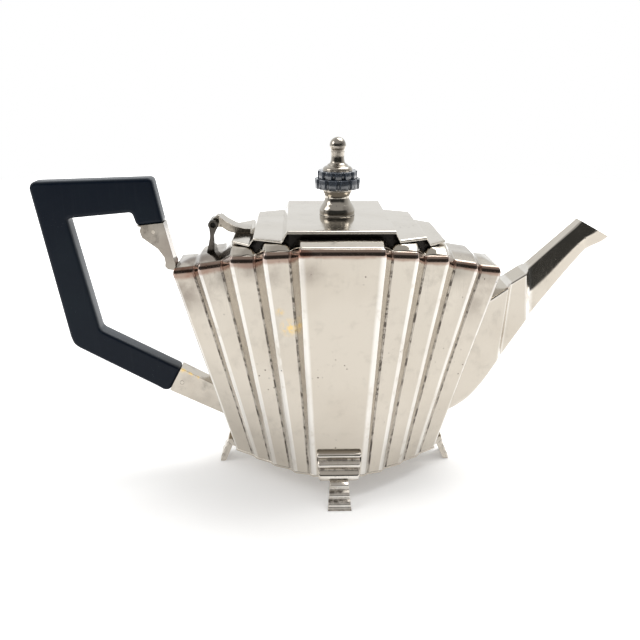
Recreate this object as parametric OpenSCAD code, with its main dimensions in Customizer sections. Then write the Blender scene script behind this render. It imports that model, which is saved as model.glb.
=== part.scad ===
// Stepped fan-shaped teapot: hollow pleated body on four bracket feet, box spout,
// angular insulated handle held by pinned sockets, and a stepped lid on a rear hinge.
// Millimetres. +X towards the spout, +Z up, z = 0 on the table, plan centred on the whole pot.

/* [Body at the shoulder] */
// Height of the centre panel's top edge above the table
shoulder_z = 119.7; // [100:0.1:150]
// Depth across the two centre panels
shoulder_d = 96; // [80:1:120]
// Width of the flat centre panel
centre_w = 35.2; // [26:0.1:46]
// Width of each side panel, from the centre outwards
pleat_w = [11, 10.3, 10.4, 9.7]; // [6:0.1:16]
// Sideways run of the slanted riser before each side panel
pleat_run = [3.9, 4.5, 4.9, 2.7]; // [1.5:0.1:7]
// How far each side panel stands behind the one before it
pleat_back = [9, 9, 10.5, 5.5]; // [3:0.1:12]
// How far each shoulder step lies below the one before it
pleat_drop = [3.2, 3.8, 4.5, 2.3]; // [1:0.1:6]
// Outward fall of each shoulder step
pleat_fall = [0.4, 0.1, 1.5, 1]; // [0:0.1:3]

/* [Body at the base] */
// Height of the base plate's top face above the table
base_z = 11.2; // [8:0.1:20]
// Depth across the two centre panels at the base
base_d = 78.8; // [60:0.1:100]
// Width of the centre panel at the base
base_centre_w = 23.2; // [18:0.1:34]
// Width of each side panel at the base
base_pleat_w = [6.3, 7.4, 6.7, 8.5]; // [4:0.1:12]
// Sideways run of each riser at the base
base_pleat_run = [2.1, 2.4, 2.2, 2]; // [1:0.1:4]
// How far each riser steps back at the base
base_pleat_back = [1.8, 3.2, 3, 2.9]; // [1:0.1:5]
// How far each side panel runs back over its own width at the base
base_pleat_turn = [1.8, 3.6, 4, 6]; // [0:0.1:8]

/* [Sheet metal] */
// Thickness of the body wall
wall = 1; // [0.6:0.1:1.6]
// Thickness of the shoulder plate and the base plate
plate = 1.2; // [0.8:0.1:2]
// Radius of one straining hole
strain_r = 1.3; // [0.8:0.1:2]
// Straining holes in a row, across the pot
strain_across = 3; // [2:1:4]
// Rows of straining holes
strain_rows = 6; // [3:1:8]

/* [Lid] */
// Height of the lid's middle above the shoulder's middle
lid_rise = 5.3; // [4:0.1:8]
// Half width of the lid's three steps
lid_x = [22.8, 37.2, 47.3]; // [15:0.1:60]
// Half depth of the lid at the outer corner of each step
lid_y = [37.8, 30, 19.5]; // [12:0.1:45]
// Drop of the two lower steps below the middle one
lid_drop = [4.2, 7.6]; // [2:0.1:12]
// Sideways run of the lid's slanted risers
lid_run = 2.6; // [1.5:0.1:4]
// Plan setback of the lid's slanted risers
lid_back = [2.5, 3]; // [1:0.1:5]
// Thickness of the lid plate
lid_t = 1.3; // [0.8:0.1:2]
// Depth of the guiding flange below the lid plate
flange_h = 7; // [4:0.1:12]
// Overhang of the lid past the collar around the opening
lid_over = 2.2; // [1:0.1:4]
// Gap under the closed lid
seat_gap = 0.3; // [0.2:0.05:0.6]
// Gap between the flange and the collar
flange_gap = 1; // [0.6:0.1:1.6]

/* [Hinge] */
// Distance of the hinge pin from the middle of the pot
hinge_x = 56.8; // [52:0.1:64]
// Height of the hinge pin above the lid's lowest step
hinge_rise = 3.6; // [3:0.1:6]
// Outside radius of the hinge knuckles
knuckle_r = 2.35; // [2:0.05:3.5]
// Radius of the hinge pin
pin_r = 1.1; // [0.8:0.05:1.6]
// Radial clearance of the hinge pin
pin_gap = 0.05; // [0.01:0.01:0.1]
// Width of the hinge over both ears
hinge_w = 10.8; // [8:0.1:16]
// Width of each ear of the hinge post
ear_w = 2.3; // [1.5:0.1:4]
// Side gap between an ear and the lid arm
ear_gap = 0.3; // [0.2:0.05:0.6]
// How far the pin's ends lie inside the ears
pin_recess = 0.9; // [0:0.1:1.5]

/* [Finial] */
// Height of the finial above the lid
finial_h = 34.9; // [28:0.1:44]
// Radius of the toothed disc's lower tier
disc_r = 10.5; // [8:0.1:13]
// Radius of the toothed disc's upper tier
disc_top_r = 9.1; // [7:0.1:12]
// Teeth around each tier
disc_teeth = 12; // [8:1:18]
// Radius of the stud that clamps the finial to the lid
stud_r = 1.5; // [1:0.1:2.5]

/* [Spout] */
// Height of the spout's root above the table, at its lower end
spout_low = 28.8; // [18:0.1:50]
// Height of the spout's root above the table, at its upper end
spout_high = 85; // [65:0.1:98]
// Wall of the spout
spout_wall = 1; // [0.6:0.1:1.6]
// Half width of the spout at its root, past each rib, and at its tip
spout_half = [9.8, 7.8, 5.7, 4.6]; // [3:0.1:13]
// Length over which each rib slants inwards
rib_run = 1.7; // [0.6:0.1:3]

/* [Handle] */
// Thickness of the handle, across the pot
handle_t = 9; // [6:0.1:14]
// Skin of the sockets around the handle's tenons
socket_skin = 1.2; // [0.8:0.1:2]
// Length of the tenons inside the sockets
tenon_l = 7; // [5:0.1:9]
// Radius of the pins that hold the handle
handle_pin_r = 0.9; // [0.6:0.1:1.4]
// Clearance around a tenon in its socket
tenon_gap = 0.1; // [0.05:0.01:0.3]

/* [Feet] */
// Width of a foot's pad against the body
pad_w = 20.7; // [14:0.1:24]
// Height of the pad's lower edge above the table
pad_low = 12; // [12:0.1:18]
// Height of a foot's pad
pad_h = 12.4; // [8:0.1:16]
// Thickness of a foot's pad at its lower edge
pad_t = 3.4; // [2:0.1:5]
// Width of a foot's leg at the neck
leg_top_w = 8; // [6:0.1:12]
// Width of a foot's leg at the table
leg_low_w = 10.6; // [8:0.1:14]
// Thickness of a foot's leg
leg_t = 2.4; // [1.6:0.1:3.5]
// How far the front and rear feet reach past the base's edge
foot_reach = 12.8; // [8:0.1:16]
// How far the end feet reach past the base's edge
end_foot_reach = 8.7; // [6:0.1:14]

/* [Hidden] */
$fn = 64;
eps = 0.01;
big = 400;
silver = "#d9d6cc";
ebony = "#14171c";

// Sum of the first k + 1 values of a list
function total(v, k) = k < 0 ? 0 : v[k] + total(v, k - 1);
// Table of [distance from the middle, height] pairs mirrored to both sides
function both_sides(t) = concat([for (i = [len(t) - 1:-1:0]) [-t[i][0], t[i][1]]], t);
// Ring that goes once round the plan from the points of its front right quarter
function ring(q) = concat(
    q,
    [for (i = [len(q) - 1:-1:0]) [q[i][0], -q[i][1]]],
    [for (p = q) [-p[0], -p[1]]],
    [for (i = [len(q) - 1:-1:0]) [-q[i][0], q[i][1]]]);
function unit(v) = v / norm(v);
// Closed anticlockwise outline moved inwards by d, with mitred corners
function inset(pts, d) = [for (i = [0:len(pts) - 1])
    let (n = len(pts), p = pts[i])
    let (a = unit(p - pts[(i + n - 1) % n]), b = unit(pts[(i + 1) % n] - p))
    let (na = [-a[1], a[0]], nb = [-b[1], b[0]])
    p + d * (na + nb) / (1 + na * nb)];

// Shoulder: half plan of the pleats, and the stepped height along the pot
PLEATS = [0:len(pleat_w) - 1];
function side_in(c, w, run, k) = c / 2 + total(run, k) + total(w, k - 1);
function side_out(c, w, run, k) = side_in(c, w, run, k) + w[k];
function shoulder_y(k) = shoulder_d / 2 - total(pleat_back, k);
function step_z(k) = shoulder_z - total(pleat_drop, k) - total(pleat_fall, k - 1);
shoulder_q = concat(
    [[centre_w / 2, -shoulder_d / 2]],
    [for (k = PLEATS, outer = [false, true])
        [outer ? side_out(centre_w, pleat_w, pleat_run, k) : side_in(centre_w, pleat_w, pleat_run, k),
            -shoulder_y(k)]]);
shoulder_top = concat(
    [[0, shoulder_z], [centre_w / 2, shoulder_z]],
    [for (k = PLEATS, outer = [false, true])
        [outer ? side_out(centre_w, pleat_w, pleat_run, k) : side_in(centre_w, pleat_w, pleat_run, k),
            outer ? step_z(k) - pleat_fall[k] : step_z(k)]]);
function shoulder_h(x) = lookup(abs(x), shoulder_top);

// Base: the same pleats, shallower and turned back
function base_y(k, outer) = base_d / 2 - total(base_pleat_back, k) - total(base_pleat_turn, outer ? k : k - 1);
base_q = concat(
    [[base_centre_w / 2, -base_d / 2]],
    [for (k = PLEATS, outer = [false, true])
        [outer ? side_out(base_centre_w, base_pleat_w, base_pleat_run, k)
               : side_in(base_centre_w, base_pleat_w, base_pleat_run, k),
            -base_y(k, outer)]]);

last = len(shoulder_q) - 1;
end_top_x = shoulder_q[last][0];
end_top_z = shoulder_h(end_top_x) - plate;
end_low_x = base_q[last][0];
// Where the flat end panel stands at a height, and where the centre panel stands
function end_x(z) = end_low_x + (z - base_z) * (end_top_x - end_low_x) / (end_top_z - base_z);
function front_y(z) = base_d / 2
    + (z - base_z) * (shoulder_d - base_d) / 2 / (shoulder_z - plate - base_z);

// Lid: half plan and stepped height, as on the shoulder
lid_z = shoulder_z + lid_rise;
lid_q = [
    [lid_x[0], -lid_y[0]],
    [lid_x[0] + lid_run, -lid_y[0] + lid_back[0]],
    [lid_x[1], -lid_y[1]],
    [lid_x[1] + lid_run, -lid_y[1] + lid_back[1]],
    [lid_x[2], -lid_y[2]]];
lid_top = [
    [0, lid_z],
    [lid_x[0], lid_z],
    [lid_x[0] + lid_run, lid_z - lid_drop[0]],
    [lid_x[1], lid_z - lid_drop[0]],
    [lid_x[1] + lid_run, lid_z - lid_drop[1]],
    [lid_x[2], lid_z - lid_drop[1]]];
function lid_h(x) = lookup(abs(x), lid_top);
collar_w = wall;
flange_in = lid_over + collar_w + flange_gap;

// Hinge axis
hinge_z = lid_h(lid_x[2]) + hinge_rise;
hole_r = pin_r + pin_gap;

// Spout: one line across its side for each section, as
// [offset of the upper end, offset of the lower end, half width], offsets from the root's ends
spout_a = [end_x(spout_high), spout_high];
spout_b = [end_x(spout_low), spout_low];
half_0 = spout_half[0];
half_1 = spout_half[1];
half_2 = spout_half[2];
half_3 = spout_half[3];
function along(a, b, t) = a + (b - a) * t;
rib_1 = [[10, 7.2], [23.6, 26.2]];
rib_2 = [[18.4, 13.4], [36.6, 46.4]];
tip = [[43, 37.4], [72.8, 86.2]];
spout_lines = [
    [[0, 0], [0, 0], half_0],
    [along([0, 0], rib_1[0], 0.3), [5.4, 3], half_0],
    [along([0, 0], rib_1[0], 0.55), [11, 7.6], half_0],
    [along([0, 0], rib_1[0], 0.8), [17.6, 16.2], half_0],
    [rib_1[0], rib_1[1], half_0],
    [rib_1[0] + [rib_run, rib_run], rib_1[1] + [rib_run, rib_run], half_1],
    [rib_2[0], rib_2[1], half_1],
    [rib_2[0] + [rib_run, rib_run], rib_2[1] + [rib_run, rib_run], half_2],
    [along(rib_2[0], tip[0], 0.45), [47, 60.4], along(half_2, half_3, 0.3)],
    [along(rib_2[0], tip[0], 0.65), [55.4, 71.6], along(half_2, half_3, 0.6)],
    [along(rib_2[0], tip[0], 0.85), [61.2, 78.8], along(half_2, half_3, 0.8)],
    [along(rib_2[0], tip[0], 0.94), tip[1] - [9, 5.2], half_3],
    [along(rib_2[0], tip[0], 0.97), tip[1] - [3.6, 2.6], half_3],
    [tip[0], tip[1], half_3]];
spout_sections = [for (s = spout_lines) [spout_a + s[0], spout_b + s[1], s[2]]];

// Handle: outline corners from the shoulder's end (upper) and from the lower socket's middle (lower)
up = [-end_top_x, end_top_z + plate];
low_z = base_z + 20.8;
low = [-end_x(low_z), low_z];
seam_up = [up + [-4.4, 19], up + [-16.8, 17.6]];
seam_low = [low + [-20.2, 18.3], low + [-26.2, 7]];
grip_outer = [seam_low[1], low + [-29, 6.6], low + [-31.6, 8.4], low + [-68.4, 29.2],
    low + [-70.6, 31], low + [-71.8, 34.4], up + [-63.4, 34.6], up + [-62.6, 36.6], up + [-61, 37.6],
    up + [-10, 39.3], up + [-8.6, 38.8], up + [-8, 37.6], seam_up[0]];
grip_inner = [seam_up[1], up + [-18.6, 23.6], up + [-47.6, 20.9], low + [-57.2, 38.4], seam_low[0]];

// Overall plan centre, from the handle's and the spout's far ends
plan_low = min([for (p = grip_outer) p[0]]);
plan_high = max([for (s = spout_sections) max(s[0][0], s[1][0])]);
pot_x = -(plan_low + plan_high) / 2;

// Solid between a lower and an upper ring, both mirrored in the pot's long axis. Each cap is
// made of strips that join a front edge to the back edge behind it.
module loft(low_ring, high_ring) {
    n = len(low_ring);
    function behind(i) = (n / 2 - 1 - i + n) % n;
    front_edges = [for (i = [-n / 4:n / 4 - 2]) [(i + n) % n, (i + 1 + n) % n]];
    polyhedron(
        points = concat(low_ring, high_ring),
        faces = concat(
            [for (e = front_edges) [e[0], e[1], behind(e[1]), behind(e[0])]],
            [for (e = front_edges) [n + behind(e[0]), n + behind(e[1]), n + e[1], n + e[0]]],
            [for (i = [0:n - 1]) [i, n + i, (i + 1) % n]],
            [for (i = [0:n - 1]) [n + i, n + (i + 1) % n, (i + 1) % n]]));
}

// Everything between two height tables, over the whole depth of the pot
module band(low_table, low_shift, high_table, high_shift) {
    low_side = [for (p = both_sides(low_table)) [p[0], p[1] + low_shift]];
    high_side = [for (p = both_sides(high_table)) [p[0], p[1] + high_shift]];
    rotate([90, 0, 0])
        linear_extrude(big, center = true)
            polygon(concat(low_side, [for (i = [len(high_side) - 1:-1:0]) high_side[i]]));
}

// Column through one base point and its shoulder point, cut at a height
function column(b, s, z) =
    let (t = (z - base_z) / (shoulder_h(s[0]) - plate - base_z))
    [b[0] + (s[0] - b[0]) * t, b[1] + (s[1] - b[1]) * t, z];

// Pleated body filled up to the underside of the shoulder plate
module body_outside() {
    b = ring(base_q);
    s = ring(shoulder_q);
    loft([for (p = b) [p[0], p[1], base_z]],
        [for (p = s) [p[0], p[1], shoulder_h(p[0]) - plate]]);
}

// The room inside, one wall thickness in, open at both ends
module body_inside() {
    b = inset(ring(base_q), wall);
    s = inset(ring(shoulder_q), wall);
    loft([for (i = [0:len(b) - 1]) column(b[i], s[i], base_z - 1)],
        [for (i = [0:len(b) - 1]) column(b[i], s[i], shoulder_z + 1)]);
}

function widened(t) = concat(t, [[t[len(t) - 1][0] + big / 4, t[len(t) - 1][1]]]);

module strain_holes() {
    pitch = (spout_high - spout_low - 4 * spout_wall) / (strain_rows + 2);
    across = 2 * (half_0 - 2 * spout_wall) / (strain_across + 1);
    for (row = [1:strain_rows], k = [0:strain_across - 1]) {
        z = spout_low + 2 * spout_wall + pitch * (row + 0.5);
        y = across * (k - (strain_across - 1) / 2);
        translate([end_x(z) - 3 * wall, y, z])
            rotate([0, 90, 0])
                cylinder(r = strain_r, h = 6 * wall, $fn = 24);
    }
}

module body_shell() {
    color(silver)
        difference() {
            body_outside();
            body_inside();
            strain_holes();
        }
}

module shoulder_plate() {
    color(silver)
        difference() {
            intersection() {
                linear_extrude(big) polygon(ring(shoulder_q));
                band(widened(shoulder_top), -plate, widened(shoulder_top), 0);
            }
            linear_extrude(big) polygon(inset(ring(lid_q), lid_over));
        }
}

module base_plate() {
    color(silver)
        translate([0, 0, base_z - plate])
            linear_extrude(plate)
                polygon(ring(base_q));
}

module lid_collar() {
    color(silver)
        intersection() {
            linear_extrude(big)
                difference() {
                    polygon(inset(ring(lid_q), lid_over));
                    polygon(inset(ring(lid_q), lid_over + collar_w));
                }
            band(widened(shoulder_top), -plate - 0.8, widened(lid_top), -lid_t - seat_gap);
        }
}

module lid_plate() {
    color(silver)
        difference() {
            intersection() {
                linear_extrude(big) polygon(ring(lid_q));
                band(widened(lid_top), -lid_t, widened(lid_top), 0);
            }
            translate([0, 0, lid_z - 2 * lid_t]) cylinder(r = stud_r, h = 3 * lid_t);
        }
}

module lid_flange() {
    color(silver)
        intersection() {
            linear_extrude(big)
                difference() {
                    polygon(inset(ring(lid_q), flange_in));
                    polygon(inset(ring(lid_q), flange_in + wall));
                }
            band(widened(lid_top), -lid_t - flange_h, widened(lid_top), -lid_t);
        }
}

// Four corners of one spout section, moved inwards by d
function spout_corners(s, d) =
    let (u = unit(s[0] - s[1]), a = s[0] - d * u * 1.25, b = s[1] + d * u * 1.25, w = s[2] - d)
    [[a[0], -w, a[1]], [a[0], w, a[1]], [b[0], w, b[1]], [b[0], -w, b[1]]];

// Tube through the sections: outer corners first, then the inner ones, with a rim at each end
module spout() {
    n = len(spout_sections);
    inner = 4 * n;
    final = 4 * (n - 1);
    function next(j) = (j + 1) % 4;
    color(silver)
        polyhedron(
            points = [for (d = [0, spout_wall], s = spout_sections, c = spout_corners(s, d)) c],
            faces = concat(
                [for (i = [0:4:final - 4], j = [0:3]) [i + j, i + next(j), i + 4 + j]],
                [for (i = [0:4:final - 4], j = [0:3]) [i + 4 + j, i + next(j), i + 4 + next(j)]],
                [for (i = [inner:4:inner + final - 4], j = [0:3]) [i + 4 + j, i + next(j), i + j]],
                [for (i = [inner:4:inner + final - 4], j = [0:3])
                    [i + 4 + next(j), i + next(j), i + 4 + j]],
                [for (j = [0:3]) [inner + j, inner + next(j), next(j), j]],
                [for (j = [0:3]) [final + j, final + next(j), inner + final + next(j),
                    inner + final + j]]));
}

// Flat piece of the handle from its side outline
module side_plate(outline, t) {
    rotate([90, 0, 0])
        linear_extrude(t, center = true)
            polygon(outline);
}

// Tenon that leaves a seam at right angles, narrower than the handle all round
function tenon(seam, length, d) =
    let (u = unit(seam[1] - seam[0]), v = [u[1], -u[0]])
    [seam[0] + u * (2.4 - d) - v * eps, seam[0] + u * (2.4 - d) + v * (length + d),
        seam[1] - u * (2.4 - d) + v * (length + d), seam[1] - u * (2.4 - d) - v * eps];
tenon_t = handle_t - 2 * socket_skin;

seam_up_back = [seam_up[1], seam_up[0]];
seam_low_back = [seam_low[1], seam_low[0]];
pin_up = (seam_up[0] + seam_up[1]) / 2 - [-1.4, tenon_l / 2];
seam_low_dir = unit(seam_low[1] - seam_low[0]);
pin_low = (seam_low[0] + seam_low[1]) / 2 + [-seam_low_dir[1], seam_low_dir[0]] * tenon_l / 2;

module handle_pin_hole(at, extra) {
    translate([at[0], 0, at[1]])
        rotate([90, 0, 0])
            cylinder(r = handle_pin_r + extra, h = handle_t + 2, center = true, $fn = 32);
}

module handle_grip() {
    color(ebony)
        difference() {
            union() {
                side_plate(concat(grip_outer, grip_inner), handle_t);
                side_plate(tenon(seam_up_back, tenon_l, 0), tenon_t);
                side_plate(tenon(seam_low_back, tenon_l, 0), tenon_t);
            }
            handle_pin_hole(pin_up, 0);
            handle_pin_hole(pin_low, 0);
        }
}

// Scroll under the upper socket, from the seam down to the end panel
upper_socket_outline = [
    seam_up[0], seam_up[1], up + [-14.9, 17], up + [-15.4, 15], up + [-14.6, 12.2],
    up + [-11.8, 10], up + [-7.6, 6.8], up + [-5, 3], up + [-4.6, 0.4], up + [-4.9, -1.4],
    up + [-3.6, -2.9], [-end_x(up[1] - 3.4), up[1] - 3.4],
    [-end_x(end_top_z), end_top_z], up, up + [-0.6, 2]];
lower_socket_outline = [
    seam_low[1], seam_low[0],
    [-end_x(low_z + 8.4), low_z + 8.4], [-end_x(low_z - 7.2), low_z - 7.2]];

module upper_socket() {
    color(silver)
        difference() {
            side_plate(upper_socket_outline, handle_t);
            side_plate(tenon(seam_up_back, tenon_l, tenon_gap), tenon_t + 2 * tenon_gap);
            handle_pin_hole(pin_up, 0);
        }
}

module lower_socket() {
    color(silver)
        difference() {
            side_plate(lower_socket_outline, handle_t);
            side_plate(tenon(seam_low_back, tenon_l, tenon_gap), tenon_t + 2 * tenon_gap);
            handle_pin_hole(pin_low, 0);
        }
}

module socket_pin(at) {
    color(silver)
        translate([at[0], 0, at[1]])
            rotate([90, 0, 0])
                cylinder(r = handle_pin_r, h = handle_t, center = true, $fn = 32);
}

module upper_socket_pin() {
    socket_pin(pin_up);
}

module lower_socket_pin() {
    socket_pin(pin_low);
}

module along_hinge(r, length) {
    translate([-hinge_x, 0, hinge_z])
        rotate([90, 0, 0])
            cylinder(r = r, h = length, center = true);
}

// Side outline of the hinge post, standing on the sloping shoulder
post_outline = [
    for (x = [hinge_x + 3.9, hinge_x - 0.2]) [-x, shoulder_h(x)],
    [-hinge_x + 0.3, hinge_z - 4.6], [-hinge_x + 1.6, hinge_z - 1.7],
    [-hinge_x - 1.9, hinge_z - 1.3], [-hinge_x - 1.6, hinge_z - 5], [-hinge_x - 2.4, hinge_z - 9]];

module hinge_post() {
    gap = hinge_w - 2 * ear_w;
    color(silver)
        difference() {
            union() {
                side_plate(post_outline, hinge_w);
                along_hinge(knuckle_r, hinge_w);
            }
            translate([-hinge_x, 0, hinge_z])
                cube([4 * knuckle_r, gap, 2 * (knuckle_r + 1.4)], center = true);
            along_hinge(hole_r, 2 * hinge_w);
        }
}

module hinge_pin() {
    color(silver) along_hinge(pin_r, hinge_w - 2 * pin_recess);
}

// Swan-necked arm: narrow at the knuckle, full width where it lies on the lid
arm_end = lid_x[1] + lid_run;
arm_outline = [
    [-hinge_x - 0.6, hinge_z + knuckle_r - 0.1],
    [-hinge_x + 1.8, hinge_z + 4.1],
    [-hinge_x + 3.4, hinge_z + 3.6],
    [-hinge_x + 6, hinge_z + 1.6],
    [-hinge_x + 10, hinge_z - 0.6],
    [-arm_end - 3, hinge_z - 1.5],
    [-arm_end, hinge_z - 1.7],
    [-arm_end, lid_h(lid_x[2])],
    [-lid_x[2] + 0.4, lid_h(lid_x[2])],
    [-lid_x[2] - 2.4, hinge_z - 3],
    [-hinge_x + 3.9, hinge_z - 0.9],
    [-hinge_x + 1.5, hinge_z - 1.6]];

module hinge_arm() {
    neck = hinge_w - 2 * ear_w - 2 * ear_gap;
    start = -hinge_x + knuckle_r + 0.5;
    color(silver)
        difference() {
            union() {
                intersection() {
                    side_plate(arm_outline, hinge_w);
                    union() {
                        translate([-hinge_x - 5, -neck / 2, 0]) cube([big / 4, neck, big]);
                        translate([start, -hinge_w / 2, 0]) cube([big / 4, hinge_w, big]);
                    }
                }
                along_hinge(knuckle_r, neck);
            }
            along_hinge(hole_r, 2 * hinge_w);
        }
}

// Turned finial parts, each as [radius, height above the lid] outlines around the stud
base_top = 12.2;
disc_low = base_top;
disc_mid = disc_low + 4.4;
disc_high = disc_mid + 3.4;

module turned(outline) {
    translate([0, 0, lid_z])
        rotate_extrude()
            polygon(outline);
}

module finial_base() {
    color(silver)
        turned([
            [stud_r, 0], [7.2, 0], [7.9, 0.8], [8.1, 2.2], [7.8, 3.6], [6.9, 4.6], [6.2, 5.2],
            [5.5, 6.4], [5.3, 8], [5.4, 9.2], [6.3, 9.8], [6.7, 10.6], [6.7, 11.6], [6.3, base_top],
            [stud_r, base_top]]);
}

module disc_tier(r, z, h) {
    tooth = 360 / disc_teeth;
    translate([0, 0, lid_z + z])
        linear_extrude(h)
            difference() {
                circle(r);
                for (k = [0:disc_teeth - 1])
                    rotate(k * tooth) translate([r, 0]) circle(0.7, $fn = 24);
            }
}

module finial_disc() {
    color(ebony)
        difference() {
            union() {
                disc_tier(disc_r, disc_low, disc_mid - disc_low);
                disc_tier(disc_top_r, disc_mid, disc_high - disc_mid);
            }
            translate([0, 0, lid_z]) cylinder(r = stud_r, h = finial_h);
        }
}

ball_r = 3.3;
ball_z = finial_h - ball_r;

module finial_cap() {
    color(silver)
        difference() {
            union() {
                turned([
                    [0, disc_high], [6.4, disc_high], [6.7, disc_high + 0.8], [6.3, disc_high + 1.9],
                    [5, disc_high + 2.6], [3.9, disc_high + 3], [4.1, disc_high + 3.8],
                    [3.7, disc_high + 4.6], [2.6, disc_high + 5.2], [2.3, disc_high + 6.4],
                    [2.4, disc_high + 7.6], [2.8, disc_high + 8.2], [2.2, ball_z - 2],
                    [0, ball_z - 2]]);
                translate([0, 0, lid_z + ball_z]) sphere(ball_r);
            }
            translate([0, 0, lid_z]) cylinder(r = stud_r, h = disc_high + 5);
        }
}

nut_low = -lid_t - 4;

module finial_stud() {
    color(silver)
        translate([0, 0, lid_z + nut_low - 1])
            cylinder(r = stud_r, h = disc_high + 5 - nut_low + 1);
}

module finial_washer() {
    color(silver)
        translate([0, 0, lid_z - lid_t - 1])
            difference() {
                cylinder(r = 3 * stud_r, h = 1);
                translate([0, 0, -1]) cylinder(r = stud_r, h = 3);
            }
}

module finial_nut() {
    color(silver)
        translate([0, 0, lid_z + nut_low])
            difference() {
                cylinder(r = 2.1 * stud_r, h = -nut_low - lid_t - 1, $fn = 6);
                translate([0, 0, -1]) cylinder(r = stud_r, h = 5);
            }
}

// One bracket foot: a ridged pad against a leaning panel and a ridged leg out to the table.
// The panel stands at wall_u[0] at the base and leans out by wall_u[1] for each millimetre up.
module foot(wall_u, reach) {
    function u(z) = wall_u[0] + wall_u[1] * (z - base_z);
    ridges = 3;
    ridge_h = pad_h / ridges;
    leg_h = pad_low + 0.6;
    foot_u = wall_u[0] + reach;
    neck_u = u(pad_low) + 0.4;
    run = (foot_u - leg_t - neck_u) / leg_h;
    color(silver) {
        for (k = [0:ridges - 1]) {
            z_0 = pad_low + k * ridge_h;
            t = pad_t * (1 - 0.22 * k);
            side_plate([[u(z_0), z_0], [u(z_0) + t - 0.5, z_0], [u(z_0) + t, z_0 + 1],
                [u(z_0) + t, z_0 + ridge_h - 1], [u(z_0 + ridge_h) + t - 0.9, z_0 + ridge_h],
                [u(z_0 + ridge_h), z_0 + ridge_h]], pad_w - 2.8 + 1.4 * k);
        }
        intersection() {
            side_plate(concat(
                [[foot_u - leg_t - 0.4, 0], [foot_u, 0]],
                [for (k = [0:ridges - 1], far = [0, 1])
                    let (z = leg_h * (k + far * 0.8) / (ridges + 0.6) + 0.5)
                    [foot_u - run * z - 0.5 * far, z]],
                [[neck_u + leg_t, leg_h], [neck_u, leg_h]]), 2 * leg_low_w);
            rotate([90, 0, 90])
                linear_extrude(big)
                    polygon([[-leg_low_w / 2, 0], [leg_low_w / 2, 0],
                        [leg_top_w / 2, leg_h], [-leg_top_w / 2, leg_h]]);
        }
    }
}

front_wall = [base_d / 2, front_y(base_z + 1) - front_y(base_z)];
end_wall = [end_low_x, end_x(base_z + 1) - end_x(base_z)];

module foot_front() {
    rotate([0, 0, -90]) foot(front_wall, foot_reach);
}

module foot_rear() {
    rotate([0, 0, 90]) foot(front_wall, foot_reach);
}

module foot_handle_end() {
    rotate([0, 0, 180]) foot(end_wall, end_foot_reach);
}

module foot_spout_end() {
    foot(end_wall, end_foot_reach);
}

translate([pot_x, 0, 0]) {
    body_shell();
    shoulder_plate();
    base_plate();
    lid_collar();
    spout();
    handle_grip();
    upper_socket();
    lower_socket();
    upper_socket_pin();
    lower_socket_pin();
    hinge_post();
    hinge_pin();
    hinge_arm();
    lid_plate();
    lid_flange();
    finial_base();
    finial_disc();
    finial_cap();
    finial_stud();
    finial_washer();
    finial_nut();
    foot_front();
    foot_rear();
    foot_handle_end();
    foot_spout_end();
}
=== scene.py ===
"""Silver stepped teapot: the finished surfaces, finishes and studio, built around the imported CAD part.

Lengths inside the functions are millimetres in the pot's own frame: x = 0 on the finial's axis,
+X towards the spout, z = 0 on the table. place() turns them into the row frame's metres.
"""
import math

import bmesh
import bpy
import numpy as np
from bpy.props import FloatProperty, FloatVectorProperty, PointerProperty
from mathutils import Matrix, Vector


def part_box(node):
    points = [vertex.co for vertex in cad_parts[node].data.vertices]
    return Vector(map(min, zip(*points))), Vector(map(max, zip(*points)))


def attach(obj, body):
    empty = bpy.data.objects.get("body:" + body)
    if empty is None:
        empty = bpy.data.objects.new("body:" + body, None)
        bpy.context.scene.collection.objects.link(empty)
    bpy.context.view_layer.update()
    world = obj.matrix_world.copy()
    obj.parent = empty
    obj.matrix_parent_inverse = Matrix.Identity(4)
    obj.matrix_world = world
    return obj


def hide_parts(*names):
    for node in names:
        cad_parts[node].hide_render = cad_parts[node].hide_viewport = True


bl_info = {
    "name": "Stepped silver teapot",
    "version": (1, 0, 0),
    "blender": (4, 5, 0),
    "location": "View3D > Sidebar > Teapot",
    "description": "Builds the surfaces, finishes and studio of a stepped silver teapot",
    "category": "Object",
}

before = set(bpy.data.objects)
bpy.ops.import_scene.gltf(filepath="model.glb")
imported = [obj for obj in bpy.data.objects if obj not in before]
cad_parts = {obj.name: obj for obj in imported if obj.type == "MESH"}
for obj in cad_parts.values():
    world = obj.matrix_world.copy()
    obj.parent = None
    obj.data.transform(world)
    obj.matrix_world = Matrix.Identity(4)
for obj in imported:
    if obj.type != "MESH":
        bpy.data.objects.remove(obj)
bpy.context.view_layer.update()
MM = 0.001


def middle_x(node):
    """Middle of a CAD node along the pot, in millimetres."""
    low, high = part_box(node)
    return (low.x + high.x) / 2 / MM


POT_X = middle_x("finial_stud")

# Points on each rounded fold, and where the other points of a flat panel lie between two folds
ARC = 7
PANEL_SHARES = (0.04, 0.12, 0.3, 0.5, 0.7, 0.88, 0.96)

# Shoulder plan from the middle outwards: width of each panel, run and step back of each riser, and
# how far the top drops over a riser and falls over a panel
CENTRE_HALF = 17.6
SHOULDER_DEPTH = 48.0
PLEAT_WIDTH = np.array([11, 10.3, 10.4, 9.7])
PLEAT_RUN = np.array([3.9, 4.5, 4.9, 2.7])
PLEAT_BACK = np.array([9, 9, 10.5, 5.5])
PLEAT_DROP = np.array([3.2, 3.8, 4.5, 2.3])
PLEAT_FALL = np.array([0.4, 0.1, 1.5, 1.0])
SHOULDER_Z = 119.7
# Base plan in the same order; here the panels turn back as well
BASE_Z = 11.2
BASE_CENTRE_HALF = 11.6
BASE_DEPTH = 39.4
BASE_WIDTH = np.array([6.3, 7.4, 6.7, 8.5])
BASE_RUN = np.array([2.1, 2.4, 2.2, 2.0])
BASE_BACK = np.array([1.8, 3.2, 3.0, 2.9])
BASE_TURN = np.array([1.8, 3.6, 4.0, 6.0])
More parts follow.
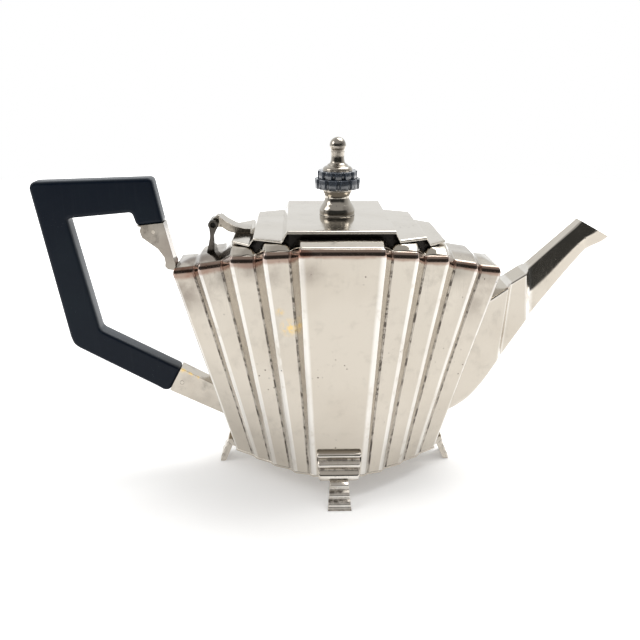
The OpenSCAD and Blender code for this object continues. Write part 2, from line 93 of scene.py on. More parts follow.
# Thickness of the shoulder plate in the CAD, and of the skins drawn here
PLATE = 1.2
SHOULDER_SKIN = 1.1
WALL_SKIN = 0.95
# Angle at which the body's rolled edge meets the shoulder, and how far it hangs below the plate inside
ROLL_END = math.radians(80)
ROLL_HANG = 0.6
# Lid: half length and half width of its three levels, their drops, and run and step back between them
LID_Z = 125.0
LID_X = np.array([22.8, 37.2, 47.3])
LID_Y = np.array([37.8, 30.0, 19.5])
LID_DROP = np.array([0.0, 4.2, 7.6])
LID_RUN = 2.2
LID_BACK = np.array([1.6, 2.4])
LID_OVERHANG = 2.2
LID_CORNER = 0.5
# Groove and bead under the lid's rolled edge: how far in, and how far below the top
LID_BEAD = ((0.0, 0.75), (0.3, 0.85), (0.3, 0.95), (0.0, 1.05), (0.0, 1.2), (0.15, 1.3), (0.5, 1.3))
# Rise of the shoulder from its rim to the lid's rim, at distances from the middle
RISE = np.array([[0, 2.2], [17.6, 2.2], [21.0, 1.2], [23.5, 2.8], [32.5, 2.7], [36.6, 1.5],
                 [38.6, 3.3], [47.3, 3.1], [52.2, 1.8], [75.0, 1.6]])
# Distance from an edge over which the hammering dies away
CALM_BODY = 8
CALM_SHOULDER = 6
CALM_LID = 5
# Painted highlight and painted shade on the risers, next to the folds
RISER_HIGHLIGHT = 0.3
RISER_SHADE = 0.12
# How far the copper tarnish reaches from the rolled edge, at distances along the pot
COPPER_REACH = np.array([[-20, 4.6], [-17, 2.7], [17, 2.7], [60, 2.8]])
# Where the handle meets the pot, in X and Z: the shoulder's end, and the lower socket's foot
SHOULDER_END = np.array([-75.0, 102.9])
SOCKET_FOOT = np.array([-55.13, 32.0])


# ---------------------------------------------------------------- shapes

def place(points):
    """Row frame metres of pot frame millimetres: shift along X, then scale."""
    return (np.asarray(points, float) + [POT_X, 0, 0]) * MM


def stepped(widths, runs, first):
    """Corner distances from the middle: each pleat adds its riser's run, then its own width."""
    return first + np.cumsum(np.column_stack([runs, widths]).ravel())


def quarter(first_x, first_y, widths, runs, backs, turns):
    """Front right quarter of a pleated plan: risers step back, panels turn back over their width."""
    x = np.concatenate([[first_x], stepped(widths, runs, first_x)])
    y = first_y - np.concatenate([[0], np.cumsum(np.column_stack([backs, turns]).ravel())])
    return np.column_stack([x, -y])


def whole(q):
    """Closed anticlockwise outline from its front right quarter, mirrored in both axes."""
    return np.concatenate([q, q[::-1] * [1, -1], -q, q[::-1] * [-1, 1]])


SHOULDER_Q = quarter(CENTRE_HALF, SHOULDER_DEPTH, PLEAT_WIDTH, PLEAT_RUN, PLEAT_BACK, 0 * PLEAT_BACK)
BASE_Q = quarter(BASE_CENTRE_HALF, BASE_DEPTH, BASE_WIDTH, BASE_RUN, BASE_BACK, BASE_TURN)
LID_Q = np.array([
    [LID_X[0], -LID_Y[0]],
    [LID_X[0] + LID_RUN, -LID_Y[0] + LID_BACK[0]],
    [LID_X[1], -LID_Y[1]],
    [LID_X[1] + LID_RUN, -LID_Y[1] + LID_BACK[1]],
    [LID_X[2], -LID_Y[2]]])


def shoulder_height(x):
    """Top of the shoulder: level strips that step down along the pot, with a ramp on each riser."""
    z = SHOULDER_Z - np.cumsum(np.column_stack([PLEAT_DROP, PLEAT_FALL]).ravel())
    return np.interp(np.abs(x), SHOULDER_Q[:, 0], np.concatenate([[SHOULDER_Z], z]))


def lid_height(x):
    """Top of the lid: three levels joined by short ramps."""
    z = LID_Z - np.array([LID_DROP[0], LID_DROP[1], LID_DROP[1], LID_DROP[2], LID_DROP[2]])
    return np.interp(np.abs(x), LID_Q[:, 0], z)


def turns(corners):
    """Side into each corner, side out of it, and their cross product: above 0 where an anticlockwise
    outline stands out, below 0 where it goes in."""
    before = corners - np.roll(corners, 1, 0)
    after = np.roll(corners, -1, 0) - corners
    return before, after, before[:, 0] * after[:, 1] - before[:, 1] * after[:, 0]


def normals_2d(ring):
    """Outward unit normals of a closed anticlockwise outline, from the chord across each point."""
    chord = np.roll(ring, -1, 0) - np.roll(ring, 1, 0)
    chord /= np.linalg.norm(chord, axis=1, keepdims=True)
    return np.column_stack([chord[:, 1], -chord[:, 0]])


def inset(ring, distance):
    """Outline moved inwards by a distance, with mitred corners: p + d (na + nb) / (1 + na.nb)."""
    before, after, _ = turns(ring)
    before /= np.linalg.norm(before, axis=1, keepdims=True)
    after /= np.linalg.norm(after, axis=1, keepdims=True)
    na = np.column_stack([-before[:, 1], before[:, 0]])
    nb = np.column_stack([-after[:, 1], after[:, 0]])
    return ring + distance * (na + nb) / (1 + np.sum(na * nb, axis=1, keepdims=True))


def softened(corners, setback, arc=5, sides=(0.5,), inward=0.0):
    """Closed outline moved inwards, whose corners are parabolas (1-t)^2 A + 2t(1-t) P + t^2 B with
    points at the given shares of every straight side between them. A and B lie a setback from the
    corner; moving in by d shortens it by d tan(turn / 2) on convex corners and lengthens it on others."""
    before, after, cross = turns(corners)
    turn = np.arctan2(cross, np.sum(before * after, 1))
    least, most = 0.1, 0.42
    back = np.maximum(setback - inward * np.tan(turn / 2), least)
    corners = inset(corners, inward)
    to_prev = np.roll(corners, 1, 0) - corners
    to_next = np.roll(corners, -1, 0) - corners
    len_prev = np.linalg.norm(to_prev, axis=1)
    len_next = np.linalg.norm(to_next, axis=1)
    back = np.minimum(back, most * np.minimum(len_prev, len_next))
    start = corners + to_prev * (back / len_prev)[:, None]
    end = corners + to_next * (back / len_next)[:, None]
    t = np.linspace(0, 1, arc)[None, :, None]
    arcs = (1 - t) ** 2 * start[:, None] + 2 * t * (1 - t) * corners[:, None] + t ** 2 * end[:, None]
    u = np.array(sides)[None, :, None]
    straight = end[:, None] * (1 - u) + np.roll(start, -1, 0)[:, None] * u
    return np.concatenate([arcs, straight], axis=1).reshape(-1, corners.shape[1])


def folds(corners, convex, concave):
    """Setback of every corner: one for folds that stand out, another for those that go in."""
    return np.where(turns(corners)[2] > 0, convex, concave)


def pleats(corners, sizes, inward=0.0):
    """A pleated plan with its folds rounded, moved inwards."""
    setback = folds(corners, sizes.fold / MM, sizes.crease / MM)
    return softened(corners, setback, ARC, PANEL_SHARES, inward)


def front_side(ring, arc, sides):
    """Points of a mirrored outline's front half, from the handle's end to the spout's end."""
    per = arc + len(sides)
    quarter_corners = len(ring) // per // 4
    last = (quarter_corners - 1) * per + arc
    return np.concatenate([ring[3 * quarter_corners * per:], ring[:last]])


def end_shares(ring, arc, sides):
    """How the points of the outline's straight end are spread across the pot, from -1 to 1."""
    per = arc + len(sides)
    quarter_corners = len(ring) // per // 4
    first = (quarter_corners - 1) * per + arc - 1
    y = ring[first:quarter_corners * per + 1, 1]
    return y / y[-1]


def corner_marks(corners, arc, sides, convex):
    """1 on the rounded points of convex (or concave) corners and 0 elsewhere, in softened()'s order."""
    cross = turns(corners)[2]
    hit = cross > 0 if convex else cross < 0
    marks = np.zeros((len(corners), arc + len(sides)))
    marks[:, :arc] = hit[:, None]
    return marks.ravel()


def grid_faces(rows, cols, closed):
    """Quads of a row-major grid; closed joins the last column to the first."""
    last = cols if closed else cols - 1
    i, j = np.meshgrid(np.arange(rows - 1), np.arange(last), indexing="ij")
    a = i * cols + j
    b = i * cols + (j + 1) % cols
    return np.stack([a, b, b + cols, a + cols], axis=-1).reshape(-1, 4).tolist()


def tube_faces(rows, cols):
    """Quads of a closed grid whose last row joins its first, as on a wall with two skins."""
    ring = np.arange(cols)
    after = np.roll(ring, -1)
    last = (rows - 1) * cols
    return grid_faces(rows, cols, True) + np.column_stack([ring + last, after + last, after, ring]).tolist()


def capped_faces(rows, cols):
    """Quads of a closed grid, with one flat face on each end ring."""
    count = rows * cols
    return grid_faces(rows, cols, True) + [list(range(cols))[::-1], list(range(count - cols, count))]


def fade(distance, over):
    """0 at an edge, 1 from a distance on, straight between."""
    return np.clip(distance / over, 0, 1)


def waves(points, seed, size, depth):
    """Soft hammering left in the sheet: a sum of nine sine waves of random direction and phase, with
    lengths round about the size, scaled by the root of their number."""
    rng = np.random.default_rng(seed)
    count = 9
    k = rng.normal(size=(count, 3))
    k *= (2 * np.pi / size) * rng.uniform(0.6, 1.7, (count, 1)) / np.linalg.norm(k, axis=1, keepdims=True)
    return depth * np.sin(points @ k.T + rng.uniform(0, 2 * np.pi, count)).sum(axis=1) / math.sqrt(count)


def outward(points, faces, inside):
    """Faces turned so that they look away from a point inside the piece: the sum of (b-a) x (c-a)
    . (middle - inside) over the first three corners of every face is then above 0."""
    a, b, c = np.moveaxis(np.asarray(points, float)[[list(face[:3]) for face in faces]], 1, 0)
    flux = np.sum(np.cross(b - a, c - a) * ((a + b + c) / 3 - inside))
    return faces if flux > 0 else [list(reversed(face)) for face in faces]


def piece(name, points, faces, material, node, body, slot, inside=None, marks=None, sharp=35):
    """One finished object from pot frame points, riding on its CAD body in place of its CAD node."""
    faces = outward(points, faces, points.mean(0) if inside is None else np.array(inside))
    mesh = bpy.data.meshes.new(name)
    mesh.from_pydata(place(points).tolist(), [], faces)
    for label, values in (marks or {}).items():
        layer = mesh.attributes.new(label, "FLOAT", "POINT")
        layer.data.foreach_set("value", values.astype(np.float32))
    return finished(name, mesh, material, node, body, sharp)


def finished(name, mesh, material, node, body, sharp=35):
    """Links a mesh into the scene, shades it, gives it its finish, hangs it on its body and hides its CAD
    node.
    """
    mesh.validate()
    mesh.shade_smooth()
    mesh.set_sharp_from_angle(angle=math.radians(sharp))
    mesh.materials.clear()
    mesh.materials.append(material)
    made = bpy.data.objects.new(name, mesh)
    bpy.context.scene.collection.objects.link(made)
    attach(made, body)
    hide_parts(node)
    return made


def mend(mesh, work):
    """Merges a mesh's doubled points and then does some work on its faces."""
    form = bmesh.new()
    form.from_mesh(mesh)
    bmesh.ops.remove_doubles(form, verts=form.verts, dist=0.01 * MM)
    work(form)
    form.to_mesh(mesh)
    form.free()


def join_flat(form):
    """Joins flat neighbours into one face and takes out slivers."""
    bmesh.ops.dissolve_limit(form, angle_limit=math.radians(0.5), verts=form.verts, edges=form.edges)
    bmesh.ops.dissolve_degenerate(form, dist=0.05 * MM, edges=form.edges)


def face_out(form):
    """Points every face outwards."""
    bmesh.ops.recalc_face_normals(form, faces=form.faces)


def eased_copy(node, material, body, radius_mm):
    """A CAD node with its edges eased: its triangles are merged, flat ones joined, edges bevelled."""
    name = node + "_eased"
    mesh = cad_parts[node].data.copy()
    mesh.name = name
    mend(mesh, join_flat)
    made = finished(name, mesh, material, node, body)
    ease = made.modifiers.new("eased edges", "BEVEL")
    ease.width = radius_mm * MM
    ease.segments = 3
    ease.limit_method = "ANGLE"
    ease.angle_limit = math.radians(25)
    ease.use_clamp_overlap = True
    ease.harden_normals = True


# Rings on each of a bar's two rims
RIM_ROWS = 8


def rounded_bar(corners, half, edge, setback):
    """Flat bar across the pot: the outline in X and Z is swept from -half to +half along Y, and both
    rims are quarter circles. Gives points and faces; each side ends in one flat face."""
    after = np.roll(corners, -1, 0)
    if np.sum(corners[:, 0] * after[:, 1] - corners[:, 1] * after[:, 0]) < 0:
        corners = corners[::-1]
    sides = (0.1, 0.5, 0.9)
    flat_border = 0.35
    angle = np.linspace(0, np.pi / 2, RIM_ROWS - 1)
    inward = np.concatenate([[edge + flat_border], edge * (1 - np.sin(angle))])
    across = np.concatenate([[half], half - edge * (1 - np.cos(angle))])
    inward = np.concatenate([inward, inward[::-1]])
    across = np.concatenate([-across, across[::-1]])
    outlines = [softened(corners, setback, 5, sides, d) for d in inward]
    rings = [np.column_stack([r[:, 0], np.full(len(r), y), r[:, 1]]) for r, y in zip(outlines, across)]
    return np.concatenate(rings), capped_faces(len(rings), len(rings[0]))


def turned(profile, steps=96, ripple=None):
    """Lathe work about the finial's axis: radius and height pairs spun round, with a flat face at each
    end. ripple(angle, radius, height) may change the radius."""
    radius, height = np.asarray(profile, float).T
    angle = np.linspace(0, 2 * np.pi, steps, endpoint=False)
    radius = np.repeat(radius[:, None], steps, 1)
    height = np.repeat(height[:, None], steps, 1)
    if ripple is not None:
        radius = ripple(angle, radius, height)
    points = np.stack([radius * np.cos(angle), radius * np.sin(angle), LID_Z + height], axis=-1)
    return points.reshape(-1, 3), capped_faces(len(height), steps)


def smooth_profile(knots, per_knot):
    """Profile through its knots as Catmull-Rom curves, the usual blend of four neighbours."""
    k = np.asarray(knots, float)
    k = np.concatenate([[2 * k[0] - k[1]], k, [2 * k[-1] - k[-2]]])
    t = np.linspace(0, 1, per_knot, endpoint=False)[None, :, None]
    p0, p1, p2, p3 = k[:-3, None], k[1:-2, None], k[2:-1, None], k[3:, None]
    curve = 0.5 * (2 * p1 + (p2 - p0) * t + (2 * p0 - 5 * p1 + 4 * p2 - p3) * t ** 2
                   + (3 * p1 - p0 - 3 * p2 + p3) * t ** 3)
    return np.concatenate([curve.reshape(-1, k.shape[1]), k[-2:-1]])


# ---------------------------------------------------------------- finishes

class Value:
    """One output of a node. Arithmetic on it adds Math nodes."""

    def __init__(self, recipe, socket):
        self.recipe, self.socket = recipe, socket

    def _math(self, operation, first, second=0.0, clamp=False):
        return self.recipe.node("ShaderNodeMath", {"operation": operation, "use_clamp": clamp},
                                {0: first, 1: second})

    def __add__(self, other):
        return self._math("ADD", self, other)

    def __sub__(self, other):
        return self._math("SUBTRACT", self, other)

    def __mul__(self, other):
        return self._math("MULTIPLY", self, other)

    def __rsub__(self, other):
        return self._math("SUBTRACT", other, self)

    __radd__ = __add__
    __rmul__ = __mul__

    def clamped(self):
        return self._math("ADD", self, 0.0, clamp=True)


class Recipe:
    """A material or a world being put together from nodes; place is where on it a point lies."""

    def __init__(self, owner, coordinates="Object"):
        owner.use_nodes = True
        self.owner = owner
        self.tree = owner.node_tree
        self.tree.nodes.clear()
        self.place = self.node("ShaderNodeTexCoord", out=coordinates)

    def node(self, kind, settings=None, sockets=None, out=0):
        """Adds a node: its settings first, then the values or links of its sockets."""
        made = self.tree.nodes.new(kind)
        for key, value in (settings or {}).items():
            setattr(made, key, value)
        for key, value in (sockets or {}).items():
            if isinstance(value, Value):
                self.tree.links.new(value.socket, made.inputs[key])
            else:
                made.inputs[key].default_value = value
        return Value(self, made.outputs[out])

    def noise(self, scale, detail=3.0, rough=0.55, stretch=(1, 1, 1), turn=(0, 0, 0), shift=(0, 0, 0)):
        spot = self.node("ShaderNodeMapping", {}, {"Vector": self.place, "Scale": stretch,
                                                   "Rotation": turn, "Location": shift})
        return self.node("ShaderNodeTexNoise", {}, {"Vector": spot, "Scale": scale, "Detail": detail,
                                                    "Roughness": rough})

    def cells(self, scale, shift=(0, 0, 0)):
        spot = self.node("ShaderNodeMapping", {}, {"Vector": self.place, "Location": shift})
        return self.node("ShaderNodeTexVoronoi", {}, {"Vector": spot, "Scale": scale})

    def patches(self, scale, low, high, detail=4, rough=0.6, shift=(0, 0, 0)):
        """1 where a noise is above high, 0 where it is below low."""
        return self.step(self.noise(scale, detail, rough, shift=shift), low, high)

    def along(self, axis):
        return self.node("ShaderNodeSeparateXYZ", {}, {0: self.place}, out=axis)

    def distance(self, point):
        return self.node("ShaderNodeVectorMath", {"operation": "DISTANCE"}, {0: self.place, 1: point},
                         out="Value")

    def step(self, value, low, high):
        """0 below low, 1 above high, smooth between."""
        return self.node("ShaderNodeMapRange", {"interpolation_type": "SMOOTHSTEP"},
                         {"Value": value, "From Min": low, "From Max": high})

    def mark(self, label):
        return self.node("ShaderNodeAttribute", {"attribute_name": label}, out="Fac")

    def mix(self, share, first, second):
        """Colour between two colours."""
        return self.node("ShaderNodeMix", {"data_type": "RGBA"}, {0: share, 6: first, 7: second}, out=2)

    def near(self, centre_mm, radius_mm):
        """1 at a point of the pot, falling to 0 at a radius from it."""
        return self.step(self.distance(tuple(place(centre_mm))), radius_mm * MM, 0.0)

    def surface(self, colour, rough, height, depth_mm, metallic=1.0, **constants):
        """Ends the recipe in a Principled shader with a bump of the given depth."""
        bump = self.node("ShaderNodeBump", {}, {"Height": height, "Distance": depth_mm * MM,
                                                "Strength": 1.0})
        sockets = {"Base Color": colour, "Roughness": rough, "Normal": bump, "Metallic": metallic}
        sockets.update({key.replace("_", " "): value for key, value in constants.items()})
        shader = self.node("ShaderNodeBsdfPrincipled", {}, sockets)
        self.end("ShaderNodeOutputMaterial", shader)
        return self.owner

    def end(self, kind, shader):
        """Joins a shader to an output node of the given kind."""
        self.tree.links.new(shader.socket, self.tree.nodes.new(kind).inputs["Surface"])


def rgba(colour, share=1.0):
    """A colour with its alpha, darkened to a share of itself."""
    return (*(part * share for part in colour), 1.0)


def recipe(name):
    return Recipe(bpy.data.materials.new(name))


def hairlines(r, shift):
    """Fine polishing scratches: three noises, each drawn out along its own direction."""
    drawn_out = (1, 1, 0.03)
    lines = [r.step(r.noise(900, 2, 0.5, drawn_out, turn, (shift + k, 0, 0)), 0.60, 0.72)
             for k, turn in enumerate(((0.3, 0.2, 0.1), (1.1, 0.6, 0.9), (0.7, 1.3, 2.0)))]
    return lines[0] + lines[1] + lines[2]


def silver(name, shades, tarnish, shift, marked=False, spots=(), smoke_and_shade=(), painted_shade_tone=1.0, bump=0.09):
    """Polished silver plate: cloudy warm tarnish, hairlines, dark specks, smoky patches that are partly
    painted shade, and spots worn down to the brass. tarnish is how much of it there is, shift moves the
    patterns from one piece to the next, tone below 1 darkens the metal as painted shade and above 1
    lightens it as painted light, and bump is the depth of its unevenness in millimetres."""
    r = recipe(name)
    cloud = r.patches(26, 0.42, 0.72, rough=0.55, shift=(shift, 0.3, 0))
    mottle = r.patches(140, 0.50, 0.74, detail=5, rough=0.65, shift=(0, shift, 0.7))
    speckled = r.patches(60, 0.56, 0.66, detail=2, rough=0.55, shift=(0, 0, shift))
    speck = r.step(r.cells(330, (shift, 0, 0)), 0.17, 0.05) * speckled
    lines = hairlines(r, shift)
    dull = (cloud * (tarnish * 1.6)).clamped()
    colour = r.mix(dull, rgba(shades.silver, painted_shade_tone), rgba(shades.tarnish, painted_shade_tone))
    colour = r.mix((mottle * tarnish * 0.6).clamped(), colour, rgba(shades.soot))
    colour = r.mix(speck * 0.85, colour, rgba(shades.soot))
    # Smoky patches: partly smoke stains, partly painted shade darkening the silver
    for centre, radius, depth in smoke_and_shade:
        smoke_shade_patch = r.near(centre, radius) * r.patches(55, 0.30, 0.62, shift=(shift, 0, 0.4))
        colour = r.mix((smoke_shade_patch * depth).clamped(), colour, rgba(shades.smoke_and_shade))
    rough = 0.10 + cloud * 0.07 + mottle * (0.25 * tarnish) + speck * 0.3 + lines * 0.05
    if marked:
        colour = wear_and_highlights(r, colour, shades, shift, cloud)
        rough = rough + r.mark("fold") * 0.2
    for centre, radius in spots:
        worn = r.near(centre, radius) * r.patches(420, 0.40, 0.58, rough=0.7)
        colour = r.mix(worn, colour, rgba(shades.brass))
    dents = r.noise(42, 2, 0.4, shift=(0, 0, shift)) * 0.8 + r.noise(190, 2, 0.5) * 0.12
    return r.surface(colour, rough, dents - lines * 0.02 - speck * 0.2, bump)


def wear_and_highlights(r, colour, shades, shift, cloud):
    """What the marks on a piece add: a painted highlight on the edges, partly edges polished bright,
    dark lines in the folds, and copper along the rims with a ragged border."""
    patch = r.patches(70, 0.50, 0.64, shift=(0.2, shift, 0))
    blot = r.patches(310, 0.46, 0.56, rough=0.7, shift=(0, 0, shift))
    # Painted highlight: the edge marks are lightened almost to white, partly edges polished bright
    bright = r.mark("edge") * (0.46 - cloud * 0.22 - blot * patch * 0.25)
    colour = r.mix(bright.clamped(), colour, rgba(shades.rubbed_highlight))
    dark = r.mark("fold") * (0.35 + blot * 0.6)
    colour = r.mix(dark.clamped(), colour, rgba(shades.soot))
    border = (r.noise(120, 4, 0.6, shift=(0.6, shift, 0)) - 0.5) * 0.9
    ragged = r.step(r.mark("rim") + border, 0.35, 0.75)
    return r.mix((ragged * (0.6 + patch * 0.35)).clamped(), colour, rgba(shades.copper))


def gap_shade_finish(name, shades):
    """Silver in a gap, painted nearly black as the shade there, and only faintly shiny."""
    r = recipe(name)
    cloud = r.patches(220, 0.45, 0.7, detail=5, rough=0.65)
    colour = r.mix(cloud * 0.35, rgba(shades.soot, 0.12), rgba(shades.soot))
    return r.surface(colour, 0.5 + cloud * 0.2, cloud, 0.1, metallic=0.6)


def black_grip(name, shades):
    """Satin black handle: dense navy black, dust, long scratches from rubbing, and a painted sheen
    that greys its narrow sides.
    """
    r = recipe(name)
    cloud = r.noise(30, 4, 0.6)
    dust = r.step(r.cells(700), 0.10, 0.03) * r.patches(90, 0.5, 0.65, detail=3, rough=0.55)
    lines = hairlines(r, 3.0)
    grain = r.noise(1500, 3, 0.6)
    colour = r.mix(r.step(cloud, 0.35, 0.75), rgba(shades.grip), rgba(shades.grip_worn))
    colour = r.mix((dust * 0.35 + lines * 0.006).clamped(), colour, rgba(shades.dust))
    # Painted sheen: the narrow sides that look up are lightened towards grey
    colour = r.mix((r.mark("edge") * (0.45 + cloud * 0.8)).clamped(), colour, rgba(shades.grip_sheen))
    rough = 0.30 + cloud * 0.14 + dust * 0.2
    height = grain * 0.5 + cloud * 0.6 - lines * 0.05
    return r.surface(colour, rough, height, 0.02, metallic=0.0, Specular_IOR_Level=0.18)


def black_disc(name, shades):
    """Polished black moulding with painted highlights along its tooth edges and rims, and dust in the
    notches.
    """
    r = recipe(name)
    cloud = r.noise(120, 4, 0.6)
    dust = r.step(r.cells(1100), 0.12, 0.04) * r.patches(300, 0.5, 0.62, detail=3, rough=0.55)
    colour = r.mix((dust * 0.6).clamped(), rgba(shades.disc), rgba(shades.dust))
    # Painted highlight along the tooth edges and the rims of the tiers
    colour = r.mix(r.mark("edge") * (0.25 + cloud * 0.5), colour, rgba(shades.disc_edge_highlight))
    rough = 0.13 + cloud * 0.12 + dust * 0.3
    return r.surface(colour, rough, cloud * 0.8 - dust * 0.3, 0.05, metallic=0.0, Specular_IOR_Level=1.0,
                     Coat_Weight=0.6, Coat_Roughness=0.08)


def paper(name, colour):
    """Seamless white paper with a faint tooth. It glows a little as painted light, more so away from the
    pot, and greys off in front as a painted shade, where the silver needs something dark to mirror."""
    r = recipe(name)
    tooth = r.noise(700, 4, 0.6)
    cloud = r.patches(3, 0.3, 0.8, detail=2, rough=0.55)
    shade = r.mix(cloud * 0.15, rgba(colour), rgba(colour, 0.96))
    # Painted shade on the floor in front of the pot
    painted_front_shade = r.step(r.along("Y"), -0.85, -0.36)
    shade = r.mix(painted_front_shade, rgba(colour, 0.45), shade)
    glow = r.mix(r.step(r.distance((0, -0.12, 0)), 0.20, 0.62), rgba((0.22, 0.22, 0.222)), rgba((0.95,) * 3))
    glow = r.mix(painted_front_shade, rgba((0, 0, 0)), glow)
    return r.surface(shade, 0.75 + tooth * 0.1, tooth, 0.04, metallic=0.0, Specular_IOR_Level=0.15,
                     Emission_Color=glow, Emission_Strength=1.0)


# The tone of a finish darkens its metal as painted shade, most of all on the hinge post; above 1 it lightens
# it
SILVERS = {
    "panels": {"tarnish": 0.22, "shift": 0.0, "marked": True},
    "tops": {"tarnish": 0.16, "shift": 1.7},
    "lid": {"tarnish": 0.15, "shift": 2.9, "marked": True},
    "spout": {"tarnish": 0.22, "shift": 4.1, "marked": True},
    "sockets": {"tarnish": 0.6, "shift": 5.3, "bump": 0.25},
    "upper_socket": {"tarnish": 0.85, "shift": 5.9, "painted_shade_tone": 0.62, "bump": 0.25},
    "hinge": {"tarnish": 1.1, "shift": 6.1, "painted_shade_tone": 0.12, "bump": 0.25},
    "arm": {"tarnish": 0.8, "shift": 6.7, "painted_shade_tone": 0.85, "bump": 0.3},
    "feet": {"tarnish": 0.3, "shift": 7.7, "marked": True, "painted_shade_tone": 1.12, "bump": 0.12},
    "turned": {"tarnish": 1.1, "shift": 8.3, "painted_shade_tone": 0.74, "bump": 0.6},
    "inside": {"tarnish": 0.65, "shift": 9.9},
}
# Smoky patches on each finish, partly smoke stains and partly painted shade: centre, radius and depth of
# colour
SMOKE_AND_SHADE = {
    "panels": (((-72, -8, 92), 22, 0.9), ((-58, -22, 100), 15, 0.7), ((-40, -30, 107), 9, 0.6),
               ((74, -6, 92), 30, 0.45), ((-13, -47, 109), 8, 0.5), ((70, -10, 88), 18, 0.6),
               ((-28, -38, 108), 9, 0.5)),
    "tops": (((-66, -5, 105), 34, 1.3), ((-50, -18, 112), 14, 0.8), ((66, -5, 108), 24, 0.7)),
    "sockets": (((-66, -5, 38), 9, 0.8), ((-72, -5, 45), 5, 0.7)),
    "upper_socket": (((-72, -3, 110), 22, 0.7),),
    "hinge": (((-52, 0, 109), 16, 0.85),),
}
# Spots worn down to the brass: centre and radius
SPOTS = {
    "panels": (((-22, -37, 83), 5.5), ((-26, -37, 90), 3.0)),
    "sockets": (((-74, -4.5, 49.8), 2.6), ((-70.5, -4.5, 47.9), 2.2), ((-67, -4.5, 46), 2)),
}
OTHERS = {"silver_soot": gap_shade_finish, "black_grip": black_grip, "black_disc": black_disc}
FINISHES = {}


def finish(key):
    """The material of that key, made the first time it is asked for."""
    if key not in FINISHES:
        shades = bpy.context.scene.teapot_shades
        if key in SILVERS:
            worn = {"smoke_and_shade": SMOKE_AND_SHADE.get(key, ()), "spots": SPOTS.get(key, ())}
            FINISHES[key] = silver("silver_" + key, shades, **SILVERS[key], **worn)
        else:
            FINISHES[key] = OTHERS[key](key, shades)
    return FINISHES[key]


# ---------------------------------------------------------------- sizes and colours to change

def length(name, default, description):
    return FloatProperty(name=name, default=default, unit="LENGTH", description=description)


def tint(name, default, description):
    return FloatVectorProperty(name=name, default=default, subtype="COLOR", description=description)


class TeapotSizes(bpy.types.PropertyGroup):
    """Sizes of the finish, none of which changes the pot's own dimensions."""
    roll: length("Shoulder roll", 0.0015, "How far the rolled edge between wall and shoulder reaches in")
    roll_drop: length("Roll depth", 0.0031, "How far below the shoulder the wall starts to roll over")
    lid_roll: length("Lid edge", 0.0009, "Radius of the lid's rounded rim")
    fold: length("Outer folds", 0.0011, "How far from its corner each outer fold of the sheet starts")
    crease: length("Inner folds", 0.0005, "How far from its corner each inner fold of the sheet starts")
    wave: length("Hammering", 0.00007, "Depth of the soft waves left in the sheet")
    grip_edge: length("Grip edge", 0.0016, "Radius of the handle's long edges")
    eased: length("Eased edges", 0.00035, "Radius on the edges of the small silver fittings")
    socket_edge: length("Socket edges", 0.0011, "Radius on the edges of the handle's two sockets")


class TeapotShades(bpy.types.PropertyGroup):
    """Colours of the finishes."""
    silver: tint("Silver", (0.545, 0.50, 0.435), "Clean silver plate")
    # Painted highlight on folds, rims, ribs, ridges and risers, partly edges polished bright
    rubbed_highlight: tint("Rubbed edges", (0.97, 0.965, 0.95), "Edges kept bright by polishing")
    # Colour of the smoky patches, partly painted shade
    smoke_and_shade: tint("Smoke", (0.20, 0.165, 0.14), "Brown patches the cloth does not reach")
    tarnish: tint("Tarnish", (0.46, 0.41, 0.345), "Warm cloudy tarnish")
    # Also the colour of the painted shade in the gap under the lid
    soot: tint("Soot", (0.075, 0.062, 0.052), "Dark sulphide in folds and specks")
    brass: tint("Bare brass", (0.78, 0.55, 0.20), "Metal under the worn plating")
    copper: tint("Copper", (0.25, 0.13, 0.09), "Reddish tarnish along the shoulder")
    grip: tint("Grip", (0.0014, 0.0055, 0.014), "Black of the handle")
    grip_worn: tint("Worn grip", (0.004, 0.010, 0.018), "Handle where hands have rubbed it")
    # Painted sheen on the handle's narrow sides that look up
    grip_sheen: tint("Greyed grip", (0.085, 0.094, 0.105), "Handle where its narrow sides look up")
    # Painted highlight on the disc's tooth edges and rims
    disc_edge_highlight: tint("Rubbed black edges", (0.20, 0.23, 0.28), "Bluish grey of rubbed black edges")
    disc: tint("Disc", (0.016, 0.022, 0.032), "Black of the finial's disc")
    dust: tint("Dust", (0.30, 0.29, 0.27), "Dust on the black pieces")
    paper: tint("Paper", (0.93, 0.925, 0.915), "The floor")


class TeapotStudio(bpy.types.PropertyGroup):
    """The studio round the pot."""
    lens: FloatProperty(name="Lens", default=42.19, min=10, description="Focal length in millimetres")
    pitch: FloatProperty(name="Pitch", default=math.radians(18.76), subtype="ANGLE",
                         description="How far the camera looks down")
    yaw: FloatProperty(name="Yaw", default=math.radians(1.77), subtype="ANGLE",
                       description="Turn of the camera towards the spout")
    roll: FloatProperty(name="Roll", default=math.radians(0.25), subtype="ANGLE",
                        description="Tilt of the camera")
    stand: FloatVectorProperty(name="Camera place", subtype="XYZ", unit="LENGTH",
                               default=(-0.01261, -0.344, 0.1902), description="Where the camera stands")
    sky: FloatProperty(name="Room light", default=0.64, min=0, description="Strength of the white room")
    key: FloatProperty(name="Top light", default=13.0, min=0, unit="POWER",
                       description="Power of the large soft light overhead")


# ---------------------------------------------------------------- the pieces, one operator each

class TeapotPiece:
    """What the operators share."""
    bl_options = {"REGISTER", "UNDO"}

    @property
    def sizes(self):
        return bpy.context.scene.teapot_sizes


